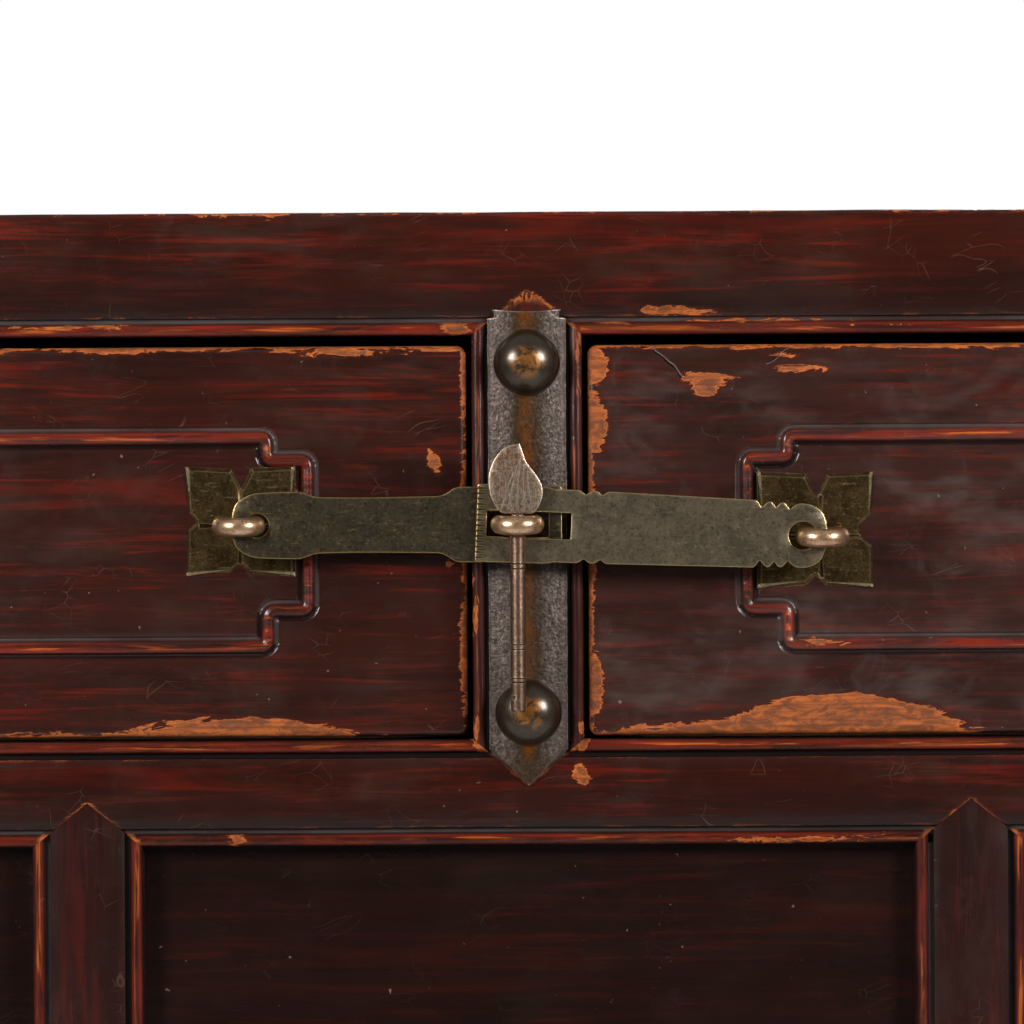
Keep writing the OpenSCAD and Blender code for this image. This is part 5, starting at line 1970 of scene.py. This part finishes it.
@dataclass
class Carcass:
    """The CAD pieces whose own shape shows, and the carving laid on the aprons."""

    palette: Palette

    @staticmethod
    def finish(name: str) -> str:
        """Picks the finish that suits a CAD node.

        Args:
            name: Name of the node.

        Returns:
            Name of the finish.
        """
        if name.startswith(("hasp", "ring", "lock", "boss")) or name == "stile_plate":
            return "hasp_bronze"
        if name.endswith(("_outer", "_inner", "runners", "guides", "kicker", "battens")):
            return "timber_along_y"
        if name.startswith("drawer_") and name.endswith(("_back", "_bottom")):
            return "timber_along_x"
        if "panel" in name or "frieze" in name and "post" not in name:
            return "board_lacquer" if name == "top_panel" else "panel_lacquer"
        if name.startswith("leg") or "stile" in name or "post" in name:
            return "upright_lacquer"
        return "side_lacquer" if "side_" in name or "top_end" in name else "rail_lacquer"

    def build(self) -> None:
        """Dresses the nodes, and makes and dresses the carving."""
        for name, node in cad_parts.items():
            self.palette.paint(node, self.finish(name))
        for side in (Side.FRONT, Side.BACK, Side.LEFT, Side.RIGHT):
            half = Layout.inner_x if side in (Side.FRONT, Side.BACK) else Layout.depth / 2 - Layout.leg_w
            self.palette.dress(Carving(side, half).build(), "carving_lacquer", "lacquer")


@dataclass
class Studio:
    """Pale floor and backdrop, two soft lamps and the camera of the close view."""

    view_w: float = 338 * MM
    distance: float = 1.7
    centre_x: float = -5.1 * MM
    centre_z: float = 750.7 * MM
    roll: float = math.radians(0.33)
    sensor: float = 36.0
    lamp_turn: float = math.radians(46)
    lamp_rise: float = math.radians(17)
    lamp_distance: float = 1.35
    lamp_w: float = 0.34
    lamp_h: float = 0.42
    lamp_power: float = 16.5
    back_away: Spot = (0.9, 2.6, 1.3)
    back_size: float = 3.0
    back_power: float = 26.0
    fill: float = 0.15
    overhead: float = 1.2
    floor_rings: Spot = (0.2, 3.0, 16.0)
    floor_fade: Point = (0.9, 3.2)
    white: Colour = (1.0, 1.0, 1.0)

    def camera(self) -> None:
        """Looks square at the front, level with the rings."""
        data = bpy.data.cameras.new("close_view")
        data.sensor_width = self.sensor
        data.lens = self.sensor * self.distance / self.view_w
        data.clip_end = 50
        camera = placed(bpy.data.objects.new("close_view", data))
        camera.location = (self.centre_x, DRAWER_Y - self.distance, self.centre_z)
        upright = Matrix.Rotation(math.radians(90), 3, "X")
        camera.rotation_euler = (Matrix.Rotation(self.roll, 3, "Y") @ upright).to_euler()
        bpy.context.scene.camera = camera

    def lamp(self, name: str, away: Vector, size: float, power: float) -> None:
        """Hangs a soft lamp that the lens doesn't see.

        Args:
            name: Its name.
            away: Where it hangs, from the middle of the drawers.
            size: How much larger than the front lamps it is.
            power: Lamp power in watts.
        """
        data = bpy.data.lights.new(name, "AREA")
        data.shape = "RECTANGLE"
        data.size = self.lamp_w * size
        data.size_y = self.lamp_h * size
        data.energy = power
        lamp = placed(bpy.data.objects.new(name, data))
        lamp.visible_camera = False
        lamp.location = Vector((0, DRAWER_Y, self.centre_z)) + away
        lamp.rotation_euler = (-away).to_track_quat("-Z", "Y").to_euler()

    def world(self) -> None:
        """White to the lens all round, and behind the table to gloss and glass; a dim room to other light."""
        g = Graph("studio", world=True)
        way = g.node("TexCoord", {}, {}, "Generated")
        back, rise = (g.node("SeparateXYZ", {}, {0: way}, name) for name in ("Y", "Z"))
        seen = g.seen(back.step(0.5, 0.7) * (1 - rise.step(0.1, 0.22)))
        shade = 1 - (0 - back).step(0.55, 0.97) * 0.8 + rise.step(0.35, 0.95) * self.overhead
        dim = g.node("Background", {}, {"Color": (*self.white, 1), "Strength": shade * self.fill})
        white = g.node("Background", {}, {"Color": (*self.white, 1), "Strength": 1.0})
        g.node("OutputWorld", {}, {"Surface": g.node("MixShader", {}, {0: seen, 1: dim, 2: white})})
        bpy.context.scene.world = g.material

    def floor(self) -> None:
        """Lays the pale floor, which keeps the table's shadow."""
        rows = [[(x, y, 0.0) for x, y in ring((0, 0), r, 96)] for r in self.floor_rings]
        floor = Skin("floor").grid(rows, True).cap(0, 96).piece()
        g = Graph("floor_paper")
        grain = g.noise(3, 3, 0.5).step(0.3, 0.7)
        colour = g.mix(grain * 0.4, (0.60, 0.60, 0.59), (0.55, 0.55, 0.54))
        paper = g.node("BsdfPrincipled", {}, {"Base Color": colour, "Roughness": 0.85})
        white = g.node("Emission", {}, {"Color": (*self.white, 1), "Strength": 1.0})
        away = g.vector("LENGTH", g.place(), output="Value").step(*self.floor_fade)
        seen = g.seen(g.axis("Y").step(0.8, 1.8))
        blend = g.node("MixShader", {}, {0: seen * away, 1: paper, 2: white})
        g.node("OutputMaterial", {}, {"Surface": blend})
        floor.data.materials.append(g.material)

    def build(self) -> None:
        """Sets up camera, lamps, world and floor."""
        bpy.context.scene.view_settings.view_transform = "Standard"
        self.camera()
        turn, rise = self.lamp_turn, math.tan(self.lamp_rise)
        for name, side in (("lamp_left", -1), ("lamp_right", 1)):
            away = Vector((side * math.sin(turn), -math.cos(turn), rise)) * self.lamp_distance
            self.lamp(name, away, 1.0, self.lamp_power)
        self.lamp("lamp_behind", Vector(self.back_away), self.back_size, self.back_power)
        self.world()
        self.floor()
        LOG.info("studio ready")


def main() -> None:
    """Builds the studio and every sub-assembly in order."""
    logging.basicConfig(level=logging.INFO, format="%(name)s: %(message)s")
    Studio().build()
    palette = Palette(FINISHES)
    for assembly in (Front(palette), Lock(palette), Carcass(palette)):
        assembly.build()


if __name__ == "__main__":
    main()
